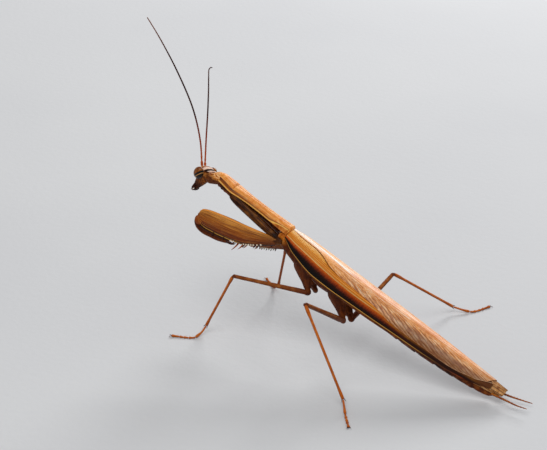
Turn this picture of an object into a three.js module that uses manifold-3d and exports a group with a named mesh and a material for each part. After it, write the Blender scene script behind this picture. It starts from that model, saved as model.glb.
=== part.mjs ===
// Praying mantis (Mantis religiosa, brown adult male), standing with folded wings.
// Millimetres, +Z up. The head points to -X, the tail to +X, and the animal's left side is -Y.
// The origin is on the floor, under the middle of the animal's box.

import * as THREE from 'three'
import { mergeVertices } from 'three/addons/utils/BufferGeometryUtils.js'
import Module from 'manifold-3d'

const wasm = await Module()
wasm.setup()

// ---------- Driving dimensions ----------

const gap = 0.08 // clearance between neighbouring pieces
const sheet = 0.5 // thickness of a wing
const boxCentre = [9.4, 4.05] // middle of the animal's box, measured from under the wing base

const bodyLean = -9 // degrees that the body rolls to its right
const pronotumLength = 15
const tegmenLength = 40.2
const hindwingLength = 42.4
const abdomenLength = 27.6

const prothorax = { at: [0.6, 0, 18.6], pitch: 24.8, lean: bodyLean, yaw: 0 }
const trunk = { at: [-0.3, 0, 17.1], pitch: 22.7, lean: bodyLean, yaw: 0 }
const head = { at: [-15.4, -0.25, 25.25], pitch: 25, lean: -24, yaw: -12 }

const eye = { at: [0, 1.8, -0.12], size: [0.88, 0.66, 1.02], turn: 14 }
const antennaSocket = [-0.72, 0.42, 0.42] // in the head's frame
const antennaBase = [-1.2, 0.42, 0.52]
const antennaRadius = [0.3, 0.25] // scape, flagellum
const footHeight = 0.26 // middle of a foot that lies on the floor

const femurWidth = 0.62 // half width of the grasping femur
const graspingFemurLength = 14.4 // the length that the tables of the grasping femur are for
const coxaBreadth = { left: 1.65, right: 1.15 } // radius of a walking coxa at the body
const coxaClearance = 0.56 // from the end of a walking coxa to the leg's next joint
const shinClearance = { mid: 0.55, hind: 0.75 } // from the knee to the start of the tibia
const footClearance = 0.42 // from the end of the tibia to the start of the foot

// Joints of the walking legs: coxa end, knee, tibia end, first tarsus joint, tarsus tip.
// Measured from the floor under the wing base.
const walkingLegs = {
  mid_left: {
    hip: [3.9, -1.3, 14.5],
    joints: [[5.2, -1.8, 10.1], [-7.2, -4.6, 10.8], [-11.5, -6.2, 1.3], [-11.8, -8.6], [-15.4, -10.4]]
  },
  mid_right: {
    hip: [2.8, 1.1, 13.9],
    joints: [[5.1, 0.5, 9.5], [-5.2, 7.7, 11.2], [-9.2, 11.6, 1.7], [-11.2, 13.1], [-14, 15.2]]
  },
  hind_left: {
    hip: [10.25, -1.3, 11.3],
    joints: [[11.9, -2.1, 7.2], [11, -11.9, 14.1], [19.3, -14.1, 1.3], [21, -16.2], [23.2, -18.9]]
  },
  hind_right: {
    hip: [9.6, 1.1, 10.5],
    joints: [[12.1, -0.1, 6.6], [13.2, 11, 10.3], [18.5, 22, 1.1], [21.1, 23.6], [22.8, 27]]
  }
}

// The grasping legs: coxa base, coxa end, knee. splay turns the spiny edge outward, in degrees.
const graspingLegs = {
  left: { splay: 6, joints: [[-9.6, -1.3, 22.9], [0.25, -2.3, 17.85], [-13.8, -5, 19.7]] },
  right: { splay: 32, joints: [[-10.1, 1.3, 22], [-1.1, 2.2, 14.9], [-15.2, 2.4, 15.3]] }
}

const antennaRoutes = {
  left: [[-16.5, 0, 30.4], [-17.9, 0.2, 35.3], [-20.3, -0.4, 41.2], [-22.9, -1.4, 46.7], [-24.7, -2.2, 50.1]],
  right: [[-17.2, 2.6, 29.6], [-18.6, 5.1, 33], [-20.3, 7.8, 35.6], [-22, 10.3, 37.3], [-23.8, 13.2, 38.2]]
}

const cercusRoutes = {
  left: [[37.3, -0.75, 1.6], [39.9, -0.9, 1.3], [41.8, -1.2, 1.2], [43.6, -1.35, 1.25]],
  right: [[37.4, 0.7, 1.4], [39.9, 0.8, 1.15], [41.6, 1.05, 0.95], [43.3, 1.2, 0.85]]
}

// ---------- Materials ----------

const finish = (color, roughness) => new THREE.MeshStandardMaterial({ color, roughness, metalness: 0 })
const shellBrown = finish('#6e3c16', 0.45)
const shieldTan = finish('#c07a35', 0.5)
const wingTan = finish('#b9773c', 0.4)
const veilBrown = finish('#7c4a26', 0.45)
const legBrown = finish('#8a4a1e', 0.5)
const darkBrown = finish('#3d2110', 0.45)
const eyeBrown = finish('#7a4d1c', 0.25)

// ---------- Shape helpers ----------

const v3 = (x, y, z) => new THREE.Vector3(x, y, z)
const asVector = p => v3(...p)
const degrees = THREE.MathUtils.degToRad

// A smooth value along a length: stops are [position, value] pairs joined by a monotone cubic.
function along (stops) {
  const last = stops.length - 1
  const rise = i => (stops[i + 1][1] - stops[i][1]) / (stops[i + 1][0] - stops[i][0])
  const slopes = stops.map((stop, i) => {
    if (i === 0) return rise(0)
    if (i === last) return rise(last - 1)
    const product = rise(i - 1) * rise(i)
    return product <= 0 ? 0 : 2 * product / (rise(i - 1) + rise(i))
  })
  return x => {
    if (x <= stops[0][0]) return stops[0][1]
    if (x >= stops[last][0]) return stops[last][1]
    const i = stops.findIndex(stop => stop[0] > x) - 1
    const width = stops[i + 1][0] - stops[i][0]
    const t = (x - stops[i][0]) / width
    const start = (1 + 2 * t) * (1 - t) ** 2 * stops[i][1] + t * (1 - t) ** 2 * width * slopes[i]
    const end = t * t * (3 - 2 * t) * stops[i + 1][1] + t * t * (t - 1) * width * slopes[i + 1]
    return start + end
  }
}

// Evenly spaced numbers from a to b.
const spread = (a, b, count) => Array.from({ length: count }, (_, i) => a + (b - a) * i / (count - 1))

const flipFaces = index => {
  for (let i = 0; i < index.length; i += 3) [index[i], index[i + 1]] = [index[i + 1], index[i]]
}

function signedVolume (points, index) {
  let sum = 0
  const cross = v3(0, 0, 0)
  for (let i = 0; i < index.length; i += 3) {
    cross.crossVectors(points[index[i + 1]], points[index[i + 2]])
    sum += points[index[i]].dot(cross)
  }
  return sum
}

function meshFrom (points, index) {
  if (signedVolume(points, index) < 0) flipFaces(index)
  const geometry = new THREE.BufferGeometry()
  geometry.setAttribute('position', new THREE.Float32BufferAttribute(points.flatMap(p => p.toArray()), 3))
  geometry.setIndex(index)
  geometry.computeVertexNormals()
  return geometry
}

// One closed body through rings of equal length, with a fan over each end.
function loft (rings) {
  const sides = rings[0].length
  const points = rings.flat()
  const index = []
  for (let i = 0; i < rings.length - 1; i++) {
    for (let j = 0; j < sides; j++) {
      const a = i * sides + j
      const b = i * sides + (j + 1) % sides
      index.push(a, b, a + sides, b, b + sides, a + sides)
    }
  }
  const lid = (start, turned) => {
    const middle = v3(0, 0, 0)
    for (let j = 0; j < sides; j++) middle.addScaledVector(points[start + j], 1 / sides)
    points.push(middle)
    for (let j = 0; j < sides; j++) {
      const edge = [start + j, start + (j + 1) % sides]
      index.push(points.length - 1, ...(turned ? edge.reverse() : edge))
    }
  }
  lid(0, true)
  lid((rings.length - 1) * sides, false)
  return meshFrom(points, index)
}

const signedPower = (value, power) => Math.sign(value) * Math.abs(value) ** power

// An oval ring across the X axis. fullness above 1 squares its corners.
function oval (x, halfWidth, top, bottom, sides, fullness = 1) {
  return Array.from({ length: sides }, (_, i) => {
    const angle = (i + 0.5) / sides * 2 * Math.PI
    const y = halfWidth * signedPower(Math.cos(angle), 1 / fullness)
    const share = signedPower(Math.sin(angle), 1 / fullness)
    return v3(x, y, (top + bottom) / 2 + share * (top - bottom) / 2)
  })
}

// A round limb along a route. radius(t) runs from its start to its end, and flatten narrows it
// across the given direction.
function limb (route, radius, steps, sides, flatten = 1, across = v3(0, 0, 1)) {
  const curve = new THREE.CatmullRomCurve3(route.map(asVector), false, 'centripetal')
  let side = null
  const rings = spread(0, 1, steps + 1).map(t => {
    const ahead = curve.getTangentAt(t)
    const seed = side ?? across
    side = seed.clone().addScaledVector(ahead, -seed.dot(ahead)).normalize()
    const other = v3(0, 0, 0).crossVectors(ahead, side)
    const middle = curve.getPointAt(t)
    return Array.from({ length: sides }, (_, i) => {
      const angle = i / sides * 2 * Math.PI
      const [c, s] = [Math.cos(angle) * radius(t), Math.sin(angle) * radius(t) * flatten]
      return middle.clone().addScaledVector(side, c).addScaledVector(other, s)
    })
  })
  return loft(rings)
}

// A radius that rounds off both ends of a limb.
const roundEnds = (radius, share = 0.12, least = 0.45) => t => {
  const near = Math.min(t, 1 - t) / share
  return radius(t) * (near >= 1 ? 1 : least + (1 - least) * Math.sqrt(near * (2 - near)))
}

function toSolid (geometry) {
  const bare = geometry.clone()
  bare.deleteAttribute('normal')
  if (bare.getAttribute('uv')) bare.deleteAttribute('uv')
  const merged = mergeVertices(bare, 1e-5)
  return new wasm.Manifold(new wasm.Mesh({
    numProp: 3,
    vertProperties: merged.getAttribute('position').array,
    triVerts: Uint32Array.from(merged.getIndex().array)
  }))
}

function toGeometry (solid) {
  const { vertProperties, triVerts, numProp } = solid.getMesh()
  const geometry = new THREE.BufferGeometry()
  const positions = new Float32Array(vertProperties.length / numProp * 3)
  for (let i = 0; i < positions.length / 3; i++) {
    positions.set(vertProperties.subarray(i * numProp, i * numProp + 3), i * 3)
  }
  geometry.setAttribute('position', new THREE.BufferAttribute(positions, 3))
  geometry.setIndex(new THREE.BufferAttribute(triVerts, 1))
  geometry.computeVertexNormals()
  return geometry
}

const join = (...pieces) => toGeometry(pieces.map(toSolid).reduce((a, b) => a.add(b)))

// The base without the tools. Only its largest piece is kept, so no crumb stays behind.
function cut (base, ...tools) {
  const rest = tools.map(toSolid).reduce((a, b) => a.subtract(b), toSolid(base))
  return toGeometry(rest.decompose().sort((a, b) => b.volume() - a.volume())[0])
}

// A cone from its foot to its tip.
function spike (foot, tip, radius, sides = 5) {
  const direction = tip.clone().sub(foot)
  const cone = new THREE.ConeGeometry(radius, direction.length(), sides)
  const turn = new THREE.Quaternion().setFromUnitVectors(v3(0, 1, 0), direction.clone().normalize())
  return cone.applyQuaternion(turn).translate(...foot.clone().add(tip).multiplyScalar(0.5).toArray())
}

function ball (centre, size, wide = 12, high = 8) {
  return new THREE.SphereGeometry(1, wide, high).scale(...size).translate(...centre)
}

// ---------- Scene graph helpers ----------

const figure = new THREE.Group()
figure.position.set(-boxCentre[0], -boxCentre[1], 0)

function frameGroup ({ at, pitch, lean, yaw }) {
  const group = new THREE.Group()
  group.position.set(...at)
  group.rotation.set(degrees(lean), degrees(pitch), degrees(yaw), 'ZYX')
  figure.add(group)
  return group
}

function addMesh (group, name, geometry, material) {
  const mesh = new THREE.Mesh(geometry, material)
  mesh.name = name
  group.add(mesh)
}

const sideSign = { left: -1, right: 1 }

// ---------- Head ----------

// Rings across the height of the head: [height, half width, front, back].
const headStops = [
  [-2.55, 0.5, 0.46, 0.72], [-1.9, 0.75, 0.6, 1], [-1.1, 1.1, 0.72, 1.22], [-0.3, 1.5, 0.82, 1.3],
  [0.4, 1.7, 0.82, 1.1], [0.8, 1.35, 0.62, 0.8], [1, 0.8, 0.38, 0.45]
]

function headRing (height) {
  const column = k => along(headStops.map(stop => [stop[0], stop[k]]))
  const [halfWidth, front, back] = [1, 2, 3].map(k => column(k)(height))
  return Array.from({ length: 16 }, (_, i) => {
    const angle = i / 16 * 2 * Math.PI
    const depth = Math.cos(angle) > 0 ? back : front
    return v3(Math.cos(angle) * depth, Math.sin(angle) * halfWidth, height)
  })
}

function eyeball (sign, grow) {
  const size = eye.size.map(value => value + grow)
  const shape = new THREE.SphereGeometry(1, 12, 9).scale(...size)
  shape.rotateX(degrees(-sign * eye.turn))
  return shape.translate(eye.at[0], sign * eye.at[1], eye.at[2])
}

function addHead () {
  const group = frameGroup(head)
  const heights = [-2.55, -2.2, -1.7, -1.1, -0.5, 0, 0.4, 0.7, 0.9, 1]
  const capsule = loft(heights.map(headRing))
  const mirroredAt = ([x, y, z], sign) => [x, sign * y, z]
  const sockets = [-1, 1].map(sign => ball(mirroredAt(antennaSocket, sign), [0.34, 0.27, 0.27], 8, 6))
  const whole = join(capsule, ...sockets)
  const room = [-1, 1].flatMap(sign => [
    eyeball(sign, gap),
    ball([antennaBase[0] + gap, sign * antennaBase[1], 0.46], [0.3, 0.3, 0.3], 8, 6)
  ])
  addMesh(group, 'head', cut(whole, ...room), shellBrown)
  for (const [side, sign] of Object.entries(sideSign)) {
    addMesh(group, `eye_${side}`, eyeball(sign, 0), eyeBrown)
  }
  addMesh(group, 'mouthparts', mouthparts(), darkBrown)
  return group
}

// Labrum and mandibles, with the two palps that hang beside them. Rings: [height, half width, front, back].
function mouthparts () {
  const stops = [
    [-2.63, 0.46, 0.44, 0.66], [-3, 0.46, 0.47, 0.56], [-3.35, 0.35, 0.44, 0.34], [-3.7, 0.17, 0.38, 0.02]
  ]
  const core = loft(stops.map(([height, halfWidth, front, back]) =>
    oval(0, halfWidth, back, -front, 8).map(p => v3(p.z, p.y, height))))
  const palps = [-1, 1].map(sign => {
    const route = [[0.15, sign * 0.28, -2.78], [0.05, sign * 0.5, -3.15], [-0.15, sign * 0.42, -3.6]]
    return limb(route, () => 0.14, 5, 6)
  })
  return join(core, ...palps)
}

function addAntennae (headGroup) {
  headGroup.updateWorldMatrix(true, false)
  const [x, y, z] = antennaBase
  const socket = sign => headGroup.localToWorld(v3(x, sign * y, z)).sub(figure.position).toArray()
  const [scape, flagellum] = antennaRadius
  const radius = along([[0, scape], [0.06, scape], [0.12, flagellum], [1, flagellum]])
  for (const [side, sign] of Object.entries(sideSign)) {
    const route = [socket(sign), ...antennaRoutes[side]]
    addMesh(figure, `antenna_${side}`, limb(route, roundEnds(radius, 0.03), 17, 6), darkBrown)
  }
}

// ---------- Prothorax ----------

const shieldWidth = along([
  [0, 0.65], [0.5, 0.95], [1.6, 1.25], [3.5, 1.65], [5, 1.4], [7, 1.15], [9.2, 1.1], [12.4, 1.28], [15, 1.5]
])
const shieldHeight = along([
  [0, 0.95], [0.9, 1.2], [2.8, 1.08], [3.9, 0.98], [5.4, 0.98], [9.4, 1.05], [12.9, 1.15], [15, 1.2]
])

// The shield arches over the prothorax, with a thin margin down each side.
function shieldRing (distance) {
  const halfWidth = shieldWidth(distance)
  const height = shieldHeight(distance)
  const arch = spread(-1, 1, 11).map(share => {
    const rise = Math.sqrt(1 - Math.min(1, Math.abs(share * 1.08)) ** 2.2)
    return v3(distance - pronotumLength, share * halfWidth, 0.1 + (height - 0.1) * rise)
  })
  const under = [0.96, 0, -0.96].map(share => v3(distance - pronotumLength, share * halfWidth, -0.06))
  return [...arch, ...under]
}

function addProthorax () {
  const group = frameGroup(prothorax)
  const distances = [0, 0.4, 1, 1.8, 2.7, 3.3, 3.8, 4.5, 5.5, 7, 8.6, 10.2, 11.8, 13.2, 14.2, pronotumLength]
  addMesh(group, 'pronotum', loft(distances.map(shieldRing)), shieldTan)
  const halfWidth = along([[0, 0.5], [1.2, 0.85], [3.4, 1.05], [5.5, 0.8], [10, 0.72], [14.3, 1]])
  const depth = along([[0, 0.95], [1.4, 1.2], [3.6, 1.25], [6, 1], [10, 1], [14.3, 1.4]])
  const rings = spread(0.35, 12.6, 12).map(distance =>
    oval(distance - pronotumLength, halfWidth(distance), -0.06 - gap, -depth(distance), 10, 1.2))
  addMesh(group, 'prosternum', loft(rings), shellBrown)
  return group
}

function addNeck (headGroup, prothoraxGroup) {
  const point = (group, x, y, z) => {
    group.updateWorldMatrix(true, false)
    return group.localToWorld(v3(x, y, z)).sub(figure.position).toArray()
  }
  const route = [
    point(headGroup, 1.46, 0, -0.25),
    point(headGroup, 1.7, 0, -0.22),
    point(prothoraxGroup, -pronotumLength - 0.34, 0, 0)
  ]
  addMesh(figure, 'neck', limb(route, along([[0, 0.7], [0.5, 0.78], [1, 0.72]]), 5, 10), shellBrown)
}

// ---------- Trunk ----------

function addTrunk (group) {
  addMesh(group, 'mesothorax', thorax(mesothorax, 0), shellBrown)
  addMesh(group, 'metathorax', thorax(metathorax, 0), shellBrown)
  addMesh(group, 'abdomen', abdomen(0), legBrown)
}

// Sections of the thorax behind the shield: [distance, half width, top, bottom].
const mesothorax = [
  [-1.1, 1.1, 1.3, 0.1], [-0.2, 1.45, 1.35, -0.6], [1.4, 1.75, 1.4, -1.3], [3.6, 1.85, 1.35, -1.9],
  [7, 1.85, 1.2, -2.4]
]
const metathorax = [
  [7 + gap, 1.85, 1.2, -2.45], [9, 1.85, 1.1, -2.65], [11.6, 1.85, 1, -2.5], [13.4, 1.8, 0.9, -2.15]
]

function thorax (stops, grow) {
  const ends = [-grow, ...Array(stops.length - 2).fill(0), grow]
  return loft(stops.map(([x, halfWidth, top, bottom], i) =>
    oval(x + ends[i], halfWidth + grow, top + grow, bottom - grow, 14, 1.25)))
}

const abdomenStart = 13.4 + gap

// Eight rings of shell, each a little fuller than the seam behind it, down to the blunt tail.
function abdomen (grow) {
  const halfWidth = along([[0, 1.75], [4, 1.8], [12, 1.65], [18, 1.3], [23, 0.9], [26, 0.65], [27.6, 0.4]])
  const top = along([[0, 0.85], [6, 0.75], [14, 0.6], [20, 0.4], [24, 0.25], [27.6, 0]])
  const bottom = along([[0, -2], [4, -2.05], [12, -2], [18, -1.8], [23, -1.5], [26.2, -1.05], [27.6, -0.6]])
  const segments = 8
  const rings = []
  for (let i = 0; i < segments; i++) {
    for (const [share, swell] of [[0, 0.955], [0.25, 1], [0.85, 1]]) {
      const distance = abdomenLength * (i + share) / segments
      const [wide, high, low] = [halfWidth, top, bottom].map(size => size(distance) * swell)
      rings.push(oval(abdomenStart + distance, wide + grow, high + grow, low - grow, 12, 1.15))
    }
  }
  const last = [halfWidth, top, bottom].map(size => size(abdomenLength))
  rings.push(oval(abdomenStart + abdomenLength, ...last, 12, 1.15))
  return loft(rings)
}

// ---------- Wings ----------

// Section of the folded wings: a low roof from crown to ridge, then a steep side to the margin.
const crown = along([
  [0.4, 2.45], [3, 2.55], [12, 2.45], [22, 2.35], [30, 2.25], [36, 2.1], [40, 2], [42.4, 1.8]
])
const ridgeWidth = along([
  [0.4, 1.7], [3, 2.4], [8, 2.65], [16, 2.6], [24, 2.4], [31, 2.05], [36, 1.65], [40, 1.2], [42.4, 0.7]
])
const ridgeHeight = along([[0.4, 1.5], [4, 1.4], [14, 1.2], [24, 1.1], [32, 1], [38, 0.9], [42.4, 0.75]])
const marginWidth = along([
  [0.4, 1.9], [3, 2.55], [8, 2.85], [16, 2.75], [24, 2.45], [31, 2.05], [36, 1.55], [40, 1], [42.4, 0.6]
])
const marginHeight = along([
  [0.4, 1.3], [3, 0.15], [8, -1], [16, -1.2], [24, -1], [31, -0.7], [36, -0.4], [40, 0], [42.4, 0.3]
])
const ridgeAt = 0.55 // share of the way from crown to margin where the ridge lies

// A point of the section, pushed inward by depth. across runs from -1, the left margin, to 1.
function wingPoint (x, across, depth) {
  const share = Math.abs(across)
  const roof = Math.min(1, share / ridgeAt)
  const wall = Math.max(0, (share - ridgeAt) / (1 - ridgeAt))
  const y = ridgeWidth(x) * roof + (marginWidth(x) - ridgeWidth(x)) * wall ** 0.6
  const arch = (crown(x) - ridgeHeight(x)) * (1 - roof ** 2.2)
  const z = ridgeHeight(x) + arch + (marginHeight(x) - ridgeHeight(x)) * wall
  const tilt = Math.min(1, share / (ridgeAt * 1.25)) ** 2 * Math.PI / 2
  return v3(x, Math.sign(across) * Math.max(0.02, y - depth * Math.sin(tilt)), z - depth * Math.cos(tilt))
}

// A closed sheet between two edges, whose far end is rounded towards its apex. A crowd below 1 brings
// its sections closer together near that end.
function wingSheet ({ start, length, edge, other, apex, depth, thickness, steps, lanes, crowd = 1 }) {
  const grid = extra => spread(0, 1, steps).map(p => spread(0, 1, lanes).map(q => {
    const roundness = 1 - ((q - apex) / Math.max(apex, 1 - apex)) ** 2
    const reach = length * (1 - tipRounding + tipRounding * Math.sqrt(Math.max(0, roundness)))
    const x = start + (reach - start) * p ** crowd
    return wingPoint(x, edge(x) + (other(x) - edge(x)) * q, depth(x) + extra)
  }))
  const outer = grid(0)
  const inner = grid(thickness)
  return loft(outer.map((row, i) => [...row, ...inner[i].slice().reverse()]))
}

// The right wing lies over the left one: its hind margin crosses to the left ridge.
const suture = along([[0.4, 0.02], [3.5, -0.06], [6, -0.16], [9, -0.32], [14, -0.52], [42.4, -0.56]])
const seam = 0.025 // half the clearance at the suture, as a share of the section
const tipRounding = 0.1 // share of a wing's length that its rounded end takes

// How far down each side the folded hindwing reaches: it shows only beyond the tegmina.
const fanEdge = {
  left: along([[38.6, 0.48], [40.4, 0.86], [42.4, 0.92]]),
  right: along([[38.6, 0.48], [42.4, 0.55]])
}

function addWings (group) {
  const tegmen = { start: 0.7, length: tegmenLength, depth: () => 0, thickness: sheet, steps: 15 }
  const left = { ...tegmen, edge: () => -1, other: x => suture(x) - seam, apex: 0.95, lanes: 6 }
  const right = { ...tegmen, edge: () => 1, other: x => suture(x) + seam, apex: 0.6, lanes: 10 }
  addMesh(group, 'tegmen_left', wingSheet(left), wingTan)
  addMesh(group, 'tegmen_right', wingSheet(right), wingTan)
  const belowTegmen = sheet + gap
  const depth = along([
    [12, belowTegmen + 0.17], [39, belowTegmen + 0.14], [tegmenLength, belowTegmen], [hindwingLength, 0.25]
  ])
  const under = { start: 12, length: hindwingLength, depth, steps: 10, lanes: 6, apex: 0.45, crowd: 0.5 }
  for (const [side, sign] of Object.entries(sideSign)) {
    const lane = { edge: x => sign * fanEdge[side](x), other: () => sign * 0.03, thickness: sheet }
    addMesh(group, `hindwing_${side}`, wingSheet({ ...under, ...lane }), veilBrown)
  }
}

// ---------- Cerci ----------

function addCerci () {
  for (const side of Object.keys(sideSign)) {
    const radius = along([[0, 0.34], [0.5, 0.29], [1, 0.25]])
    addMesh(figure, `cercus_${side}`, limb(cercusRoutes[side], roundEnds(radius, 0.08), 8, 6), legBrown)
  }
}

// ---------- Walking legs ----------

const toward = (from, to, distance) => {
  const direction = asVector(to).sub(asVector(from)).normalize()
  return asVector(from).addScaledVector(direction, distance).toArray()
}

function addWalkingLeg (name, { hip, joints }) {
  const [trochanter, knee, ankle, ...toes] = joints
  const [pair, side] = name.split('_')
  const [baseRadius, kneeRadius, shinRadius] = [0.45, 0.36, 0.27]
  const trunkDirection = v3(Math.cos(degrees(trunk.pitch)), 0, -Math.sin(degrees(trunk.pitch)))

  const coxaEnd = toward(trochanter, hip, coxaClearance)
  const breadth = coxaBreadth[side]
  const coxaWidth = along([[0, breadth], [0.3, breadth * 0.78], [0.7, 0.75], [1, 0.48]])
  const coxa = limb([hip, coxaEnd], coxaWidth, 5, 10, 0.42, trunkDirection)
  addMesh(figure, `${name}_coxa`, cut(coxa, ...bodyRoom()), shellBrown)

  const thigh = along([
    [0, baseRadius], [0.1, baseRadius], [0.3, 0.38], [0.85, kneeRadius * 0.9], [1, kneeRadius]
  ])
  addMesh(figure, `${name}_femur`, limb([trochanter, knee], roundEnds(thigh, 0.04), 6, 8), legBrown)

  const shinStart = toward(knee, ankle, shinClearance[pair])
  const shin = along([[0, 0.3], [0.15, shinRadius], [0.85, shinRadius], [1, 0.3]])
  addMesh(figure, `${name}_tibia`, limb([shinStart, ankle], roundEnds(shin, 0.03), 7, 8), legBrown)

  const onFloor = toes.map(([x, y]) => [x, y, footHeight])
  const route = [toward(ankle, onFloor[0], footClearance), ...onFloor]
  addMesh(figure, `${name}_tarsus`, tarsus(route), darkBrown)
}

// The thorax and the front of the abdomen with their clearance, where the coxae stand against them.
function bodyRoom () {
  trunkGroup.updateMatrix()
  const pieces = [thorax(mesothorax, gap), thorax(metathorax, gap), abdomen(gap)]
  return pieces.map(piece => piece.applyMatrix4(trunkGroup.matrix))
}

// A foot lies along the floor: its underside is flat where it touches.
function tarsus (route) {
  const foot = limb(route, along([[0, 0.25], [0.5, 0.28], [0.93, 0.26], [1, 0.18]]), 9, 8)
  const positions = foot.getAttribute('position')
  for (let i = 0; i < positions.count; i++) positions.setZ(i, Math.max(0, positions.getZ(i)))
  return foot
}

// ---------- Grasping legs ----------

// The femur and tibia lie in one plane: X runs from the knee to the hip, Z to the upper edge.
const femurUpper = along([
  [0.1, 0.7], [0.4, 1.15], [0.9, 1.55], [2, 1.66], [4, 1.53], [6, 1.36], [8, 1.08], [10, 0.86], [12.6, 0.58],
  [14, 0.35]
])
const femurLower = along([
  [0.1, 0.55], [0.5, 0.35], [0.8, -0.35], [1.1, -0.95], [1.9, -1.36], [2.8, -1.56], [4, -1.78], [5.2, -1.92],
  [6.1, -2.05], [7.2, -2.15], [8, -2.28], [10, -1.95], [12, -1.35], [14, -0.75]
])
const femurGirth = along([[0.1, 0.3], [1.2, 0.52], [4, femurWidth], [9, femurWidth], [12.4, 0.5], [14, 0.42]])

function graspingFemur (length) {
  const scale = length / graspingFemurLength
  const rings = [0.1, 0.5, 0.8, 1.2, 2.4, 4.2, 6, 8, 10, 11.6, 13, 14].map(distance => {
    const [top, bottom] = [femurUpper(distance), femurLower(distance)]
    return oval(distance * scale, femurGirth(distance), top, bottom, 12, 1.1)
  })
  const spines = []
  for (const [sign, count] of [[-1, 4], [1, 7]]) {
    for (const distance of spread(3.4, 9.4, count)) {
      const foot = v3(distance * scale, sign * 0.42, femurLower(distance) + 0.35)
      spines.push(spike(foot, foot.clone().add(v3(-0.25, sign * 0.45, -0.8)), 0.15, 4))
    }
  }
  for (const [distance, reach] of [[7.8, 2.1], [8.6, 1.6], [9.2, 1.15]]) {
    const foot = v3(distance * scale, 0, femurLower(distance) + 0.4)
    spines.push(spike(foot, foot.clone().add(v3(-0.55, 0, -0.85).multiplyScalar(reach)), 0.17, 5))
  }
  return join(loft(rings), ...spines)
}

// The tibia folds up under the femur and ends in a hooked claw.
function graspingTibia (grow) {
  const route = [
    [0.18, 0, -0.2], [0.22, 0, -0.75], [0.6, 0, -1.38], [1.6, 0, -1.9], [2.8, 0, -2.12], [4.1, 0, -2.34],
    [6.1, 0, -2.45]
  ]
  const radius = along([[0, 0.34], [0.15, 0.4], [0.4, 0.47], [0.7, 0.46], [0.9, 0.36], [1, 0.28]])
  const shaft = limb(route, t => radius(t) + grow, 8, 8, 0.8, v3(0, 0, 1))
  const hook = along([[0, 0.3 + grow], [1, 0.12 + grow]])
  return join(shaft, limb([[5.6, 0, -2.45], [6.5, 0, -2.6], [7.2, 0, -2.45]], hook, 4, 6))
}

// The slender foot folds back along the inner face of the femur.
function graspingTarsus () {
  const route = [[6.35, 0.66, -2.3], [7.5, 1.15, -1.5], [9.4, 1.1, -0.6], [11.2, 0.95, -0.2]]
  return limb(route, roundEnds(() => 0.26, 0.06), 8, 6)
}

function addGraspingLeg (side) {
  const { splay, joints: [hip, elbow, knee] } = graspingLegs[side]
  const sign = sideSign[side]
  const coxaWidth = along([[0, 0.5], [0.2, 0.6], [0.6, 0.58], [1, 0.5]])
  const rounded = roundEnds(coxaWidth, 0.06)
  const coxa = grow => limb([hip, toward(elbow, hip, 0.9 - grow)], t => rounded(t) + grow, 8, 10, 0.9)
  addMesh(figure, `fore_${side}_coxa`, coxa(0), shellBrown)

  const back = asVector(elbow).sub(asVector(knee)).normalize()
  const outward = v3(0.1, 1, degrees(bodyLean))
  const acrossLeg = outward.addScaledVector(back, -outward.dot(back)).normalize()
  acrossLeg.applyAxisAngle(back, sign * degrees(splay))
  const up = v3(0, 0, 0).crossVectors(back, acrossLeg)
  const stand = new THREE.Matrix4().makeBasis(back, acrossLeg, up).setPosition(...knee)
  const place = geometry => (sign < 0 ? geometry : mirrored(geometry)).applyMatrix4(stand)
  const femur = graspingFemur(asVector(elbow).distanceTo(asVector(knee)))
  addMesh(figure, `fore_${side}_femur`, cut(place(femur), coxa(gap), place(graspingTibia(gap))), legBrown)
  addMesh(figure, `fore_${side}_tibia`, place(graspingTibia(0)), legBrown)
  addMesh(figure, `fore_${side}_tarsus`, place(graspingTarsus()), darkBrown)
}

// The same shape on the other side of the XZ plane.
function mirrored (geometry) {
  const copy = geometry.clone().scale(1, -1, 1)
  const index = Array.from(copy.getIndex().array)
  flipFaces(index)
  copy.setIndex(index)
  copy.computeVertexNormals()
  return copy
}

// ---------- Assembly ----------

const headGroup = addHead()
const prothoraxGroup = addProthorax()
const trunkGroup = frameGroup(trunk)
addAntennae(headGroup)
addNeck(headGroup, prothoraxGroup)
addTrunk(trunkGroup)
addWings(trunkGroup)
addCerci()
for (const side of Object.keys(sideSign)) addGraspingLeg(side)
for (const [name, leg] of Object.entries(walkingLegs)) addWalkingLeg(name, leg)

export default figure
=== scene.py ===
"""Praying mantis, a brown adult male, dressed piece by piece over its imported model.

Lengths in the tables are millimetres, measured from the floor under the wing base, with +Z up,
the head towards -X and the animal's left side towards -Y. build() turns them into metres in the
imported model's frame.
"""

import bmesh
import bpy
import numpy as np
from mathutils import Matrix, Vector


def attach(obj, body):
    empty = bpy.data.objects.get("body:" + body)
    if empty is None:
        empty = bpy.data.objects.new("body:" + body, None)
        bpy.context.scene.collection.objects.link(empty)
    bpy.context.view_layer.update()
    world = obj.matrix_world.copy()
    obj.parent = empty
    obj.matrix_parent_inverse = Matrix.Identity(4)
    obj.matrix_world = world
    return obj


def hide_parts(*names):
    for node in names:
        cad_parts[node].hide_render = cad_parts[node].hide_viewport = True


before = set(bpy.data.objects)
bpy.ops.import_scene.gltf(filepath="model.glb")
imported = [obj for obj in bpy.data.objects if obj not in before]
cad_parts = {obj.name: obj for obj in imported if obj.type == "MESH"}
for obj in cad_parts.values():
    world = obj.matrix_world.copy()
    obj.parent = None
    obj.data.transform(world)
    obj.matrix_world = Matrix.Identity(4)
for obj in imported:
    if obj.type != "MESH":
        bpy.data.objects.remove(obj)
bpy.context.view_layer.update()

# ---------- Driving dimensions ----------

MM = 0.001
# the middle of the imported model's box, which is the origin of its frame
BOX_CENTRE = np.array([9.4, 4.05, 0.0])
BODY_LEAN = -9
PRONOTUM_LENGTH = 15.0
TEGMEN_LENGTH = 40.2
TEGMEN_THICKNESS = 0.06
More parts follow.
